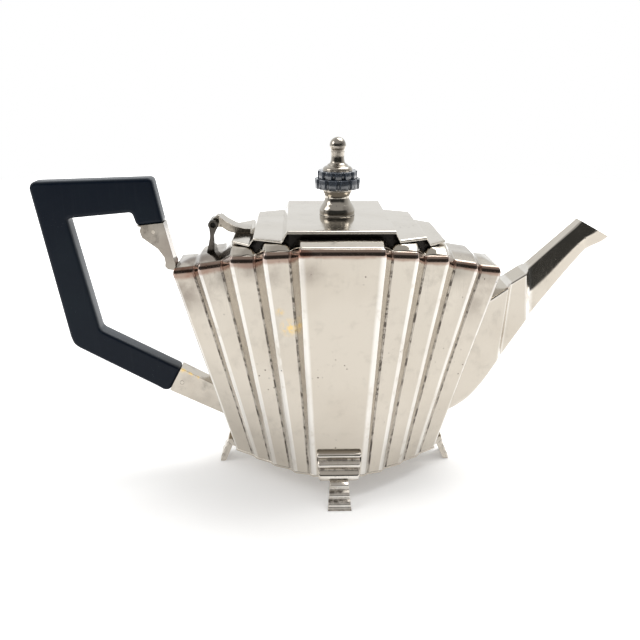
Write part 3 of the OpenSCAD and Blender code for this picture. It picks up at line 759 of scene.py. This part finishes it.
class TEAPOT_OT_body(TeapotPiece, bpy.types.Operator):
    """Pleated wall: straight lines from the base plan to the shoulder plan, with every fold rounded,
    a rolled upper edge, and soft waves along the normal"""
    bl_idname = "teapot.body"
    bl_label = "Body wall"

    outer_rows = 40
    roll_rows = 12
    inner_rows = 12

    def execute(self, context):
        roll = self.sizes.roll / MM
        drop = self.sizes.roll_drop / MM
        low, high = (pleats(whole(q), self.sizes) for q in (BASE_Q, SHOULDER_Q))
        rows = self.lines(low, high, drop, self.outer_rows)
        for a in np.linspace(0, ROLL_END, self.roll_rows)[1:]:
            rows.append(self.row(roll * (1 - math.cos(a)), drop * (1 - math.sin(a))))
        rows.append(self.row(roll, PLATE + ROLL_HANG))
        low, high = (pleats(whole(q), self.sizes, WALL_SKIN) for q in (BASE_Q, SHOULDER_Q))
        rows += self.lines(low, high, drop + PLATE, self.inner_rows)[::-1]
        points = np.concatenate(rows)
        top = shoulder_height(points[:, 0])
        calm = fade(np.minimum(points[:, 2] - BASE_Z, top - points[:, 2]), CALM_BODY)
        dents = waves(points, 11, 38, self.sizes.wave / MM) * calm
        points[:, :2] += np.tile(normals_2d(high), (len(rows), 1)) * dents[:, None]
        from_roll = np.abs(top - points[:, 2] - drop * 0.6)
        piece("body_wall", points, tube_faces(len(rows), len(high)), finish("panels"), "body_shell", "pot",
              "silver", marks=self.marks(len(rows), from_roll / np.interp(points[:, 0], *COPPER_REACH.T)))
        return {"FINISHED"}

    def lines(self, low, high, drop, count):
        """Rows up the straight lines between two plans, to a drop below the shoulder."""
        t = np.linspace(0, 1, count)
        z = shoulder_height(high[:, 0]) - drop
        return [np.column_stack([low * (1 - k) + high * k, BASE_Z + (z - BASE_Z) * k]) for k in t]

    def row(self, inward, drop):
        """One row of the roll: the shoulder's plan moved inwards, at a drop below the shoulder."""
        ring = pleats(whole(SHOULDER_Q), self.sizes, inward)
        return np.column_stack([ring, shoulder_height(ring[:, 0]) - drop])

    def marks(self, rows, from_roll):
        """A painted highlight on outer folds, partly polish, dark on inner ones, a little painted highlight
        and painted shade on the risers, and copper round the roll: 1.2 less the distance from it over its
        reach."""
        corners = whole(SHOULDER_Q)
        convex, concave = (corner_marks(corners, ARC, PANEL_SHARES, out) for out in (True, False))
        risers = self.riser_marks(corners)
        return {"edge": np.tile(np.maximum(convex, RISER_HIGHLIGHT * risers), rows),
                "fold": np.tile(np.maximum(concave, RISER_SHADE * risers), rows),
                "rim": np.clip(1.2 - from_roll, 0, 1)}

    def riser_marks(self, corners):
        """1 on the short sides between an outer and an inner fold, 0 on the panels."""
        _, side, turn = turns(corners)
        is_riser = (turn * np.roll(turn, -1) < 0) & (np.abs(side[:, 1]) > np.abs(side[:, 0]))
        marks = np.zeros((len(corners), ARC + len(PANEL_SHARES)))
        marks[:, ARC:] = is_riser[:, None]
        return marks.ravel()


class TEAPOT_OT_shoulder(TeapotPiece, bpy.types.Operator):
    """Shoulder plate: steps down along the pot and rises a little towards the lid, drawn over lines
    along Y between the rolled edge and the filling opening"""
    bl_idname = "teapot.shoulder"
    bl_label = "Shoulder plate"

    # Shares of the way from the rolled edge to the opening, and lines across the opening
    outer_shares = np.linspace(0, 1, 9)
    inner_shares = np.linspace(0, 1, 13)[1:-1]

    def execute(self, context):
        reach = self.sizes.roll / MM * (1 - math.cos(ROLL_END))
        front = front_side(pleats(whole(SHOULDER_Q), self.sizes, reach - 0.05), ARC, PANEL_SHARES)
        hole = self.opening()
        x = self.stations(front, hole)
        y_out = -np.interp(x, front[:, 0], front[:, 1])
        y_in = self.inner_line(x, y_out, hole)
        outer = -y_out[:, None] + (y_out - y_in)[:, None] * self.outer_shares
        middle = -y_in[:, None] + 2 * y_in[:, None] * self.inner_shares
        y = np.concatenate([outer, middle, -outer[:, ::-1]], axis=1)
        x = np.repeat(x[:, None], y.shape[1], 1)
        z = self.height(x, y, y_out[:, None], reach)
        points = np.stack([x, y, z], axis=-1).reshape(-1, 3)
        calm = fade(np.abs(y_out[:, None]) - np.abs(y), CALM_SHOULDER).ravel()
        points[:, 2] += waves(points, 5, 30, self.sizes.wave / MM) * calm
        faces = np.array(grid_faces(*y.shape, False))
        kept = faces[~self.over_opening(points[faces].mean(axis=1), hole)]
        used, index = np.unique(kept, return_inverse=True)
        made = piece("shoulder_top", points[used], index.reshape(kept.shape).tolist(), finish("tops"),
                     "shoulder_plate", "pot", "silver", (0, 0, 60))
        skin = made.modifiers.new("wall", "SOLIDIFY")
        skin.thickness = SHOULDER_SKIN * MM
        skin.offset = -1
        skin.use_quality_normals = True
        return {"FINISHED"}

    def opening(self):
        """Front right quarter of the filling opening: the lid's outline without its overhang."""
        hole = inset(whole(LID_Q), LID_OVERHANG)
        hole = hole[(hole[:, 0] > 0) & (hole[:, 1] < 0)]
        return hole[np.argsort(hole[:, 0])]

    def stations(self, front, hole):
        """Places along the pot where a line is drawn: at every corner of both outlines, and between."""
        end = hole[-1, 0]
        marks = np.concatenate([front[:, 0], hole[:, 0], -hole[:, 0], np.linspace(-end, end, 61)])
        x = np.unique(np.round(marks[np.abs(marks) <= front[:, 0].max()], 3))
        return x[np.concatenate([[True], np.diff(x) > 0.02])]

    def inner_line(self, x, y_out, hole):
        """Half width of the opening; past its ends the same share of the shoulder's width."""
        end = hole[-1, 0]
        y_in = -np.interp(np.abs(x), hole[:, 0], hole[:, 1])
        y_in = np.where(np.abs(x) > end + 0.01, y_in * y_out / np.interp(end, x, y_out), y_in)
        return np.minimum(y_in, y_out - 0.5)

    def height(self, x, y, y_out, reach):
        """Shoulder height, raised towards the lid's rim: rise (8 t - t^8) / 7 with t the smaller of the
        way in from the side and the way in from the end."""
        lid_end = np.append(LID_Q[:, 0], LID_Q[-1, 0] + 3)
        y_lid = -np.interp(np.abs(x[:, :1]), lid_end, np.append(LID_Q[:, 1], 0))
        from_side = fade(y_out - np.abs(y), np.clip(y_out - y_lid, 2.5, 10))
        from_end = fade(SHOULDER_Q[-1, 0] - reach - np.abs(x), 6.0)
        t = np.minimum(from_side, from_end)
        drop = self.sizes.roll_drop / MM * (1 - math.sin(ROLL_END))
        return shoulder_height(x) - drop + (np.interp(np.abs(x), *RISE.T) + drop) * t * (8 - t ** 7) / 7

    def over_opening(self, middles, hole):
        """Whether the middle of a face lies over the opening."""
        depth = -np.interp(np.abs(middles[:, 0]), hole[:, 0], hole[:, 1])
        return (np.abs(middles[:, 0]) < hole[-1, 0]) & (np.abs(middles[:, 1]) < depth)


class TEAPOT_OT_lid(TeapotPiece, bpy.types.Operator):
    """Stepped lid: its top is a height that depends on X, its rim a quarter circle, its underside level
    with the top"""
    bl_idname = "teapot.lid"
    bl_label = "Lid"
    shares = tuple(np.linspace(0.03, 0.97, 14))

    def execute(self, context):
        roll = self.sizes.lid_roll / MM
        angles = np.linspace(0, np.pi / 2, 7)[::-1]
        rings = [self.ring(roll * (1 - math.cos(a)), roll * (1 - math.sin(a))) for a in angles]
        rings += [self.ring(inward, drop) for inward, drop in LID_BEAD]
        points = np.concatenate(rings)
        faces = grid_faces(len(rings), len(rings[0]), True)
        # Painted highlight on the lid's rounded rim: its first five rings get an edge mark, which the finish
        # lightens
        rim_highlight = np.zeros(len(points))
        rim_highlight[:len(rings[0]) * 5] = 0.6
        for ring, hammered in ((rings[0], True), (rings[-1], False)):
            web_points, web_faces = self.web(ring, hammered)
            faces += (np.array(web_faces) + len(points)).tolist()
            points = np.concatenate([points, web_points])
            rim_highlight = np.concatenate([rim_highlight, np.zeros(len(web_points))])
        made = piece("lid_top", points, faces, finish("lid"), "lid_plate", "lid", "silver",
                     (0, 0, LID_Z - 5), {"edge": rim_highlight, "fold": 0 * rim_highlight, "rim": 0 * rim_highlight})
        mend(made.data, face_out)
        made.data.shade_smooth()
        made.data.set_sharp_from_angle(angle=math.radians(40))
        return {"FINISHED"}

    def ring(self, inward, drop):
        """The lid's outline moved inwards, at a drop below its top."""
        plan = softened(whole(LID_Q), LID_CORNER, ARC, self.shares, inward)
        return np.column_stack([plan, lid_height(plan[:, 0]) - drop])

    def web(self, ring, hammered):
        """Lines along Y between the front and the back half of a ring."""
        front = front_side(ring, ARC, self.shares)
        share = end_shares(ring, ARC, self.shares)
        reach = -front[:, 1:2]
        y = reach * share
        points = np.stack([np.repeat(front[:, :1], len(share), 1), y,
                           np.repeat(front[:, 2:], len(share), 1)], axis=-1).reshape(-1, 3)
        if hammered:
            to_end = front[-1, 0] - np.abs(front[:, :1])
            calm = fade(np.minimum(reach - np.abs(y), to_end), CALM_LID).ravel()
            points[:, 2] += waves(points, 21, 30, self.sizes.wave / MM) * calm
        return points, grid_faces(len(front), len(share), False)


# Ends of the spout's root on the body, in X and Z, and how far each rib steps out
SPOUT_ROOT_HIGH = np.array([70.24, 85.0])
SPOUT_ROOT_LOW = np.array([54.21, 28.8])
RIB_RUN = 1.7
# Distance of each section's upper and lower end from the root's ends, and its half width
SPOUT_LINES = np.array([
    [0, 0, 0, 0, 9.8],
    [3, 2.16, 5.4, 3, 9.8],
    [5.5, 3.96, 11, 7.6, 9.8],
    [8, 5.76, 17.6, 16.2, 9.8],
    [10, 7.2, 23.6, 26.2, 9.8],
    [10 + RIB_RUN, 7.2 + RIB_RUN, 23.6 + RIB_RUN, 26.2 + RIB_RUN, 7.8],
    [18.4, 13.4, 36.6, 46.4, 7.8],
    [18.4 + RIB_RUN, 13.4 + RIB_RUN, 36.6 + RIB_RUN, 46.4 + RIB_RUN, 5.7],
    [29.47, 24.2, 47, 60.4, 5.37],
    [34.39, 29, 55.4, 71.6, 5.04],
    [39.31, 33.8, 61.2, 78.8, 4.82],
    [41.52, 35.96, 63.8, 81, 4.6],
    [42.26, 36.68, 69.2, 83.6, 4.6],
    [43, 37.4, 72.8, 86.2, 4.6]])
# Sections that share one smooth curve, or one straight run where there are only two
SPOUT_GROUPS = ((0, 4), (4, 5), (5, 6), (6, 7), (7, 13))


class TEAPOT_OT_spout(TeapotPiece, bpy.types.Operator):
    """Box spout: each section is a rounded rectangle on the line between its upper and lower end;
    between the ribs the ends follow smooth curves"""
    bl_idname = "teapot.spout"
    bl_label = "Spout"
    shares = (0.03, 0.12, 0.22, 0.3, 0.38, 0.46, 0.54, 0.62, 0.7, 0.78, 0.88, 0.97)
    # Crown of a side: shares of its height, and how far it stands out there
    bulge = ([0, 0.3, 0.42, 0.5, 1], [-0.3, 0.5, 0.7, 0.6, -1.3])
    # Points on each rounded corner of a section, and how far from the corner the rounding starts
    corner_points = 6
    setback = 0.9

    def execute(self, context):
        lines = self.stations()
        high = SPOUT_ROOT_HIGH + lines[:, 0:2]
        low = SPOUT_ROOT_LOW + lines[:, 2:4]
        half = lines[:, 4]
        crown = fade(6.0 - half, 0.3)
        outer, inner = ([self.section(*line, inward) for line in zip(low, high, half, crown)]
                        for inward in (0.0, WALL_SKIN))
        rows = outer + inner[::-1]
        count, n = len(rows), len(rows[0])
        points = np.concatenate(rows)
        widths = np.repeat(np.concatenate([half, half[::-1]]), n)
        on_side = np.abs(np.abs(points[:, 1]) - widths) < 1.2
        points[:, 1] += np.sign(points[:, 1]) * waves(points, 31, 26, self.sizes.wave / MM) * on_side
        square = np.array([[0, 0], [1, 0], [1, 1], [0, 1.0]])
        # Painted highlight on the rounded corners and, stronger, on the ribs, through the edge mark
        corner = np.tile(corner_marks(square, self.corner_points, self.shares, True), count)
        step_in = np.abs(np.diff(half)) > 0.3
        on_rib = np.append(step_in, False) | np.append(False, step_in)
        rib = np.repeat(np.concatenate([on_rib, on_rib[::-1]]), n)
        piece("spout_box", points, tube_faces(count, n), finish("spout"), "spout", "pot", "silver",
              (80, 0, 70), {"edge": np.maximum(corner * 0.4, rib), "fold": corner * 0, "rim": corner * 0}, 30)
        return {"FINISHED"}

    def stations(self):
        """Rows of SPOUT_LINES with more between them: smooth through long groups, straight over a
        single step, in few parts where the width changes."""
        rows = []
        for first, final in SPOUT_GROUPS:
            knots = SPOUT_LINES[first:final + 1]
            if final - first > 1:
                part = smooth_profile(knots, 6)
            else:
                parts = 3 if knots[1, 4] != knots[0, 4] else 10
                t = np.linspace(0, 1, parts + 1)[:, None]
                part = knots[0] * (1 - t) + knots[1] * t
            rows.append(part if not rows else part[1:])
        return np.concatenate(rows)

    def section(self, low, high, half, crown, inward):
        """Rounded rectangle on the line from a lower to an upper end. Past the second rib each side is
        crowned: widest at its middle, and leaning in towards the top."""
        long = np.linalg.norm(high - low)
        corners = np.array([[0, -half], [long, -half], [long, half], [0, half]])
        ring = softened(corners, self.setback, self.corner_points, self.shares, inward)
        side = np.interp(ring[:, 0] / long, *self.bulge)
        ring[:, 1] *= 1 + crown * side / half
        xz = low + ring[:, :1] * (high - low) / long
        return np.column_stack([xz[:, 0], ring[:, 1], xz[:, 1]])


# Half thickness of the grip, and how far from its corner each corner of its outline is rounded
HANDLE_HALF = 4.5
GRIP_CORNER = 1.6
# Corners of the grip's outline: two runs from the lower socket's foot, two from the shoulder's end
GRIP_LOW = np.array([[-26.2, 7], [-29, 6.6], [-31.6, 8.4], [-68.4, 29.2], [-70.6, 31], [-71.8, 34.4]])
GRIP_HIGH = np.array([[-63.4, 34.6], [-62.6, 36.6], [-61, 37.6], [-10, 39.3], [-8.6, 38.8], [-8, 37.6],
                      [-4.4, 19]])
GRIP_INSIDE = np.array([[-16.8, 17.6], [-18.6, 23.6], [-47.6, 20.9]])
GRIP_INSIDE_LOW = np.array([[-57.2, 38.4], [-20.2, 18.3]])


class TEAPOT_OT_handle(TeapotPiece, bpy.types.Operator):
    """Angular grip: its side outline swept across the pot, with rounded long edges"""
    bl_idname = "teapot.handle"
    bl_label = "Handle grip"

    def execute(self, context):
        corners = np.concatenate([SOCKET_FOOT + GRIP_LOW, SHOULDER_END + GRIP_HIGH,
                                  SHOULDER_END + GRIP_INSIDE, SOCKET_FOOT + GRIP_INSIDE_LOW])
        points, faces = rounded_bar(corners, HANDLE_HALF, self.sizes.grip_edge / MM, GRIP_CORNER)
        piece("grip", points, faces, finish("black_grip"), "handle_grip", "pot", "handle",
              marks={"edge": self.upward_sheen(points)}, sharp=50)
        return {"FINISHED"}

    def upward_sheen(self, points):
        """How far the narrow sides look up or towards the pot, where a painted sheen greys them;
        nothing on the two broad faces."""
        count = len(points) // (2 * RIM_ROWS)
        middle = points[(RIM_ROWS - 1) * count:RIM_ROWS * count, [0, 2]]
        side = normals_2d(middle)
        look = np.clip(side[:, 1] + 0.7 * side[:, 0], 0, 1)
        weight = np.clip((np.abs(np.arange(2 * RIM_ROWS) - RIM_ROWS + 0.5) - RIM_ROWS / 2) / -1.5, 0, 1)
        return np.outer(weight, look).ravel()


# Waist and cap of the finial: radius and height above the lid
WAIST = ((0.5, 0.0), (7.5, 0.0), (8.0, 0.5), (8.1, 1.4), (8.05, 2.4), (7.8, 3.3), (7.2, 4.4), (6.5, 5.4),
         (6.0, 6.5), (5.75, 7.6), (5.75, 8.6), (5.95, 9.5), (6.35, 10.3), (6.7, 11.0), (6.7, 11.7),
         (6.3, 12.2), (0.5, 12.2))
CAP = ((0.5, 20.0), (6.3, 20.0), (6.7, 20.4), (6.7, 20.9), (6.3, 21.5), (5.6, 22.0), (4.9, 22.25),
       (4.6, 22.5), (4.55, 22.8), (4.0, 23.1), (3.4, 23.6), (3.1, 24.5), (2.95, 25.7), (2.95, 26.9),
       (3.05, 27.9), (3.1, 28.6))
BALL_RADIUS = 3.7
BALL_Z = 31.2
# The disc's two tiers: their radii, the heights between which they lie, the depth that shows, the
# number of teeth, and the rounding of their edges
LOWER_TIER = 10.5
UPPER_TIER = 9.1
TIER_Z = (12.2, 16.6, 20.0)
TIER_DEPTH = 2.2
TEETH = 12
TOOTH_EASE = 0.35
# Half width and depth of the notch between two teeth
NOTCH_HALF = 1.05
NOTCH_DEEP = 1.35


class TEAPOT_OT_finial(TeapotPiece, bpy.types.Operator):
    """Turned finial: a silver waist, a black disc of two toothed tiers, and a silver cap with a ball"""
    bl_idname = "teapot.finial"
    bl_label = "Finial"

    def execute(self, context):
        waist = turned(smooth_profile(WAIST, 4))
        self.add("finial_waist", waist, "turned", "finial_base", "silver")
        low, split, high = TIER_Z
        side = self.tier(LOWER_TIER, low, split) + self.tier(UPPER_TIER, split, high)
        disc = turned([(0.5, low + 0.05)] + side + [(0.5, high - 0.05)], 360, self.notch)
        edges = {"edge": self.tooth_highlights(disc[0] - [0, 0, LID_Z])}
        self.add("finial_disc_moulding", disc, "black_disc", "finial_disc", "finial_disc", edges)
        angle = np.linspace(-0.6, 0.5 * np.pi, 22)
        ball = np.column_stack([BALL_RADIUS * np.cos(angle), BALL_Z + BALL_RADIUS * np.sin(angle)])
        profile = np.concatenate([smooth_profile(CAP, 4), ball])
        profile[:, 0] = np.maximum(profile[:, 0], 0.02)
        self.add("finial_top", turned(profile), "turned", "finial_cap", "silver")
        return {"FINISHED"}

    def add(self, name, shape, key, node, slot, marks=None):
        piece(name, *shape, finish(key), node, "lid", slot, marks=marks, sharp=45)

    def tier(self, radius, low, high):
        """Side of one tier with eased rims, from its lower to its upper edge."""
        hub = radius - TIER_DEPTH
        ease = TOOTH_EASE
        return [(hub, low), (radius - ease, low), (radius - 0.1, low + 0.1), (radius, low + ease),
                (radius, high - ease), (radius - 0.1, high - 0.1), (radius - ease, high), (hub, high)]

    def along_rim(self, angle, height):
        """Distance round the rim from the middle of the nearest notch, and the tier's radius. The
        upper tier is turned by half a tooth."""
        upper = height > TIER_Z[1]
        radius = np.where(upper, UPPER_TIER, LOWER_TIER)
        turn = np.where(upper, np.pi / TEETH, 0)
        phase = np.mod(TEETH * (angle + turn) / (2 * np.pi) + 0.5, 1) - 0.5
        return np.abs(phase) / TEETH * 2 * np.pi * radius, radius

    def tooth_highlights(self, points):
        """Where a highlight is painted: 1 along the upright edges of the teeth and the rims of both tiers, 0
        between them.
        """
        x, y, z = points.T
        arc, _ = self.along_rim(np.arctan2(y, x), z)
        rims = [TIER_Z[0] + 0.15, TIER_Z[1] - 0.15, TIER_Z[2] - 0.15]
        upright = np.clip(1 - np.abs(arc - 1.1) / 0.3, 0, 1)
        rim = np.clip(1 - np.min(np.abs(z[:, None] - rims), axis=1) / 0.3, 0, 1)
        return np.maximum(upright, rim)

    def notch(self, angle, radius, height):
        """Round notches cut the radius near the rim of each tier: deep sqrt(1 - (arc / half)^2)."""
        arc, tier = self.along_rim(angle, height)
        cut = np.sqrt(np.clip(1.0 - (arc / NOTCH_HALF) ** 2, 0, 1)) * NOTCH_DEEP
        return radius - cut * np.clip((radius - tier + TIER_DEPTH) / 1.9, 0, 1)


class TEAPOT_OT_fittings(TeapotPiece, bpy.types.Operator):
    """Small silver fittings: sockets, hinge and base plate, with their edges eased"""
    bl_idname = "teapot.fittings"
    bl_label = "Fittings"

    def execute(self, context):
        eased, socket = self.sizes.eased / MM, self.sizes.socket_edge / MM
        for node, key, body, radius in (
                ("upper_socket", "upper_socket", "pot", socket), ("lower_socket", "sockets", "pot", socket),
                ("hinge_post", "hinge", "pot", 0.6 * eased), ("hinge_arm", "arm", "lid", eased),
                ("base_plate", "panels", "pot", eased)):
            eased_copy(node, finish(key), body, radius)
        for node in ("lid_collar", "lid_flange", "hinge_pin", "upper_socket_pin", "lower_socket_pin",
                     "finial_stud", "finial_washer", "finial_nut"):
            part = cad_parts[node]
            part.data.materials.clear()
            # The collar and the hinge pin get the painted shade of the gap under the lid
            in_gap = node in ("hinge_pin", "lid_collar")
            part.data.materials.append(finish("silver_soot" if in_gap else "inside"))
        return {"FINISHED"}


# Foot's pad from top to bottom: height above the table, and how far it stands off the wall
PAD = np.array([[24.4, -0.6], [24.4, 0.9], [23.6, 2.6], [22.4, 3.1], [21.0, 1.9], [20.0, 1.8], [18.6, 3.5],
                [17.2, 3.6], [16.0, 2.3], [15.0, 2.3], [13.2, 4.0], [11.2, 4.3], [9.8, 3.3], [9.4, -0.6]])
# Foot's leg from its neck to the table: share of its length, and how far its front stands out
LEG = np.array([[0.0, 0.6], [0.14, 0.2], [0.26, 1.6], [0.38, 2.3], [0.46, 0.9], [0.54, 1.7], [0.65, 2.0],
                [0.72, 0.8], [0.79, 1.5], [0.88, 1.8], [0.94, 1.1]])
LEG_THICK = 2.6
NECK_Z = 13.2
# Outline of a foot across the pot: height and half width at two heights of the pad and of the leg
PAD_WIDTHS = ((9.4, 9.2), (24.4, 10.35))
LEG_WIDTHS = ((0.0, 5.4), (12.6, 3.9))
# Heights of the dark grooves and the bright ridges
PAD_BANDS = ((20.4, 15.5, 9.4), (22.4, 17.8, 12.0))
LEG_BANDS = ((11.4, 7.1, 3.7, 0.0), (8.9, 5.3, 2.0))
# How far the toes reach out from the wall: front and rear, and the two ends
FRONT_REACH = 12.8
END_REACH = 8.7
# A foot at an end is flatter: shares of the pad's relief and height, of the leg's relief and of the marks
END_PAD = 0.2
END_TALL = 0.35
END_LEG = 0.35
END_MARKS = 0.3


class TEAPOT_OT_feet(TeapotPiece, bpy.types.Operator):
    """Four bracket feet: a ridged pad on the leaning wall and a ridged leg, each a side outline swept
    across the foot, wider towards one end"""
    bl_idname = "teapot.feet"
    bl_label = "Feet"
    sweep_half = 10

    def execute(self, context):
        front_lean = (SHOULDER_DEPTH - BASE_DEPTH) / (SHOULDER_Z - PLATE - BASE_Z)
        end_wall = BASE_Q[-1, 0]
        end_lean = (-SHOULDER_END[0] - end_wall) / (SHOULDER_END[1] - PLATE - BASE_Z)
        front = self.foot(BASE_DEPTH, front_lean, FRONT_REACH, PAD[:, 1], PAD[:, 0], LEG[:, 1:], 1)
        low = PAD[-1, 0]
        end = self.foot(end_wall, end_lean, END_REACH, PAD[:, 1] * END_PAD,
                        low + (PAD[:, 0] - low) * END_TALL, 1.2 + END_LEG * LEG[:, 1:], END_MARKS)
        for node, shape, degrees in (("foot_front", front, -90), ("foot_rear", front, 90),
                                     ("foot_handle_end", end, 180), ("foot_spout_end", end, 0)):
            points, faces, marks = shape
            c, s = math.cos(math.radians(degrees)), math.sin(math.radians(degrees))
            at = np.column_stack([c * points[:, 0] - s * points[:, 1], s * points[:, 0] + c * points[:, 1],
                                  points[:, 2]])
            piece(node + "_bracket", at, faces, finish("feet"), node, "pot", "silver", marks=marks, sharp=40)
        return {"FINISHED"}

    def foot(self, wall, lean, reach, stands, tall, depth, share):
        """One foot that reaches out along X: its pad stands off a wall that leans, and its leg runs
        straight from a neck on the wall to a toe on the table."""
        pad = np.column_stack([wall + lean * (PAD[:, 0] - BASE_Z) + stands, tall])
        neck = np.array([wall + 1.6, NECK_Z])
        toe = np.array([wall + reach - LEG_THICK / 2, 0.0])
        down = (toe - neck) / np.linalg.norm(toe - neck)
        out = np.array([-down[1], down[0]])
        ridge = neck + LEG[:, :1] * (toe - neck) + depth * out
        ridge[:, 0] = np.minimum(ridge[:, 0], wall + reach)
        half_thick = np.array([LEG_THICK / 2, 0])
        leg = np.concatenate([ridge, [toe + half_thick + [0, 0.5], toe + half_thick, toe - half_thick,
                                      neck - 1.2 * out]])
        points, faces, marks = [], [], []
        for outline, edge, setback, widths, bands in ((pad, 1.2, 0.9, PAD_WIDTHS, PAD_BANDS),
                                                      (leg, 0.4, 0.7, LEG_WIDTHS, LEG_BANDS)):
            part, sides = rounded_bar(outline, self.sweep_half, edge, setback)
            marks.append(self.bands(part[:, 2], *bands))
            part[:, 1] *= np.interp(part[:, 2], *np.transpose(widths)) / self.sweep_half
            before = sum(len(other) for other in points)
            faces += [[i + before for i in side] for side in outward(part, sides, part.mean(0))]
            points.append(part)
        # The ridge marks go to the edge mark and become painted highlights; the groove marks go to the fold
        # mark
        fold, edge = np.concatenate(marks, axis=1) * share
        return np.concatenate(points), faces, {"fold": fold, "edge": edge, "rim": 0 * edge}

    def bands(self, height, grooves, ridges):
        """Dark marks round the heights of the grooves and painted highlights round those of the ridges:
        exp(-(h - g)^2 / spread) of the nearest one."""
        return np.array([np.exp(-np.min((height[:, None] - np.array(at)) ** 2, axis=1) / spread)
                         for at, spread in ((grooves, 0.35), (ridges, 1.2))])


class TEAPOT_OT_stage(TeapotPiece, bpy.types.Operator):
    """White paper floor, a pale room with one dark side, soft lights and the camera"""
    bl_idname = "teapot.stage"
    bl_label = "Studio"

    def execute(self, context):
        studio = context.scene.teapot_studio
        self.floor()
        self.room(studio.sky)
        self.lamp("window", (0.45, 0.35, 1.2), (0, 0.05, 0), 0.9, studio.key)
        self.lamp("side", (-1.0, -0.1, 0.7), (0, 0, 0.05), 0.6, studio.key * 0.25)
        self.camera(studio)
        context.scene.view_settings.view_transform = "Standard"
        return {"FINISHED"}

    def floor(self):
        """A flat disc of paper: rings of points round the pot."""
        rings, spokes = 40, 96
        radius, angle = np.meshgrid(np.linspace(0.01, 1.1, rings),
                                    np.linspace(0, 2 * np.pi, spokes, endpoint=False), indexing="ij")
        points = np.stack([radius * np.cos(angle), radius * np.sin(angle), 0 * angle], axis=-1).reshape(-1, 3)
        mesh = bpy.data.meshes.new("floor")
        mesh.from_pydata(points.tolist(), [], grid_faces(rings, spokes, True) + [list(range(spokes))])
        mesh.materials.append(paper("paper", bpy.context.scene.teapot_shades.paper))
        sheet = bpy.data.objects.new("floor", mesh)
        bpy.context.scene.collection.objects.link(sheet)

    def room(self, strength):
        """World light: white all round, brighter at the back, and dark in front up to half height. The
        camera itself sees plain white."""
        world = bpy.data.worlds.new("room")
        bpy.context.scene.world = world
        r = Recipe(world, "Generated")
        front = r.step(r.along("Y"), -0.15, -0.55)
        low = r.step(r.along("Z"), 0.62, 0.30)
        back = r.step(r.along("Y"), -0.2, 0.7)
        wall = r.mix(back, rgba((0.85, 0.84, 0.83)), rgba((1.6, 1.62, 1.62)))
        seen = r.mix(front * low * 0.96, wall, rgba((0.060, 0.063, 0.062)))
        lit = r.node("ShaderNodeBackground", {}, {"Color": seen, "Strength": strength})
        plain = r.node("ShaderNodeBackground", {}, {"Color": rgba((1, 1, 1)), "Strength": 1.0})
        direct = r.node("ShaderNodeLightPath", out="Is Camera Ray")
        r.end("ShaderNodeOutputWorld", r.node("ShaderNodeMixShader", {}, {0: direct, 1: lit, 2: plain}))

    def lamp(self, name, where, target, size, power):
        """A square soft light that looks at a target."""
        light = bpy.data.lights.new(name, "AREA")
        light.shape = "SQUARE"
        light.size = size
        light.energy = power
        lamp = bpy.data.objects.new(name, light)
        lamp.location = where
        lamp.rotation_euler = (Vector(target) - Vector(where)).to_track_quat("-Z", "Y").to_euler()
        bpy.context.scene.collection.objects.link(lamp)

    def camera(self, studio):
        """Camera axes from yaw, pitch and roll."""
        pitch, yaw, roll = studio.pitch, studio.yaw, studio.roll
        level = math.cos(pitch)
        ahead = Vector((math.sin(yaw) * level, math.cos(yaw) * level, -math.sin(pitch)))
        right = Vector((math.cos(yaw), -math.sin(yaw), 0))
        up = right.cross(ahead)
        across = right * math.cos(roll) + up * math.sin(roll)
        above = up * math.cos(roll) - right * math.sin(roll)
        view = bpy.data.cameras.new("camera")
        view.lens = studio.lens
        view.sensor_width = 36
        view.clip_start, view.clip_end = 0.01, 50
        eye = bpy.data.objects.new("camera", view)
        turn = Matrix((across, above, -ahead)).transposed().to_4x4()
        eye.matrix_world = Matrix.Translation(Vector(studio.stand)) @ turn
        bpy.context.scene.collection.objects.link(eye)
        bpy.context.scene.camera = eye


class TEAPOT_PT_panel(bpy.types.Panel):
    """Lists the pieces and the sizes"""
    bl_idname = "TEAPOT_PT_panel"
    bl_label = "Teapot"
    bl_space_type = "VIEW_3D"
    bl_region_type = "UI"
    bl_category = "Teapot"

    def draw(self, context):
        for operator in PIECES:
            self.layout.operator(operator.bl_idname)
        for group in (context.scene.teapot_sizes, context.scene.teapot_shades, context.scene.teapot_studio):
            box = self.layout.box()
            for name in type(group).__annotations__:
                box.prop(group, name)


PIECES = (TEAPOT_OT_body, TEAPOT_OT_shoulder, TEAPOT_OT_lid, TEAPOT_OT_spout, TEAPOT_OT_handle,
          TEAPOT_OT_finial, TEAPOT_OT_feet, TEAPOT_OT_fittings, TEAPOT_OT_stage)
GROUPS = {"teapot_sizes": TeapotSizes, "teapot_shades": TeapotShades, "teapot_studio": TeapotStudio}


def register():
    for kind in (*GROUPS.values(), *PIECES, TEAPOT_PT_panel):
        bpy.utils.register_class(kind)
    for name, kind in GROUPS.items():
        setattr(bpy.types.Scene, name, PointerProperty(type=kind))


def unregister():
    for name in GROUPS:
        delattr(bpy.types.Scene, name)
    for kind in (TEAPOT_PT_panel, *reversed(PIECES), *reversed(list(GROUPS.values()))):
        bpy.utils.unregister_class(kind)


def main():
    """Makes every piece in order."""
    register()
    for operator in PIECES:
        group, name = operator.bl_idname.split(".")
        getattr(getattr(bpy.ops, group), name)()


if __name__ == "__main__":
    main()
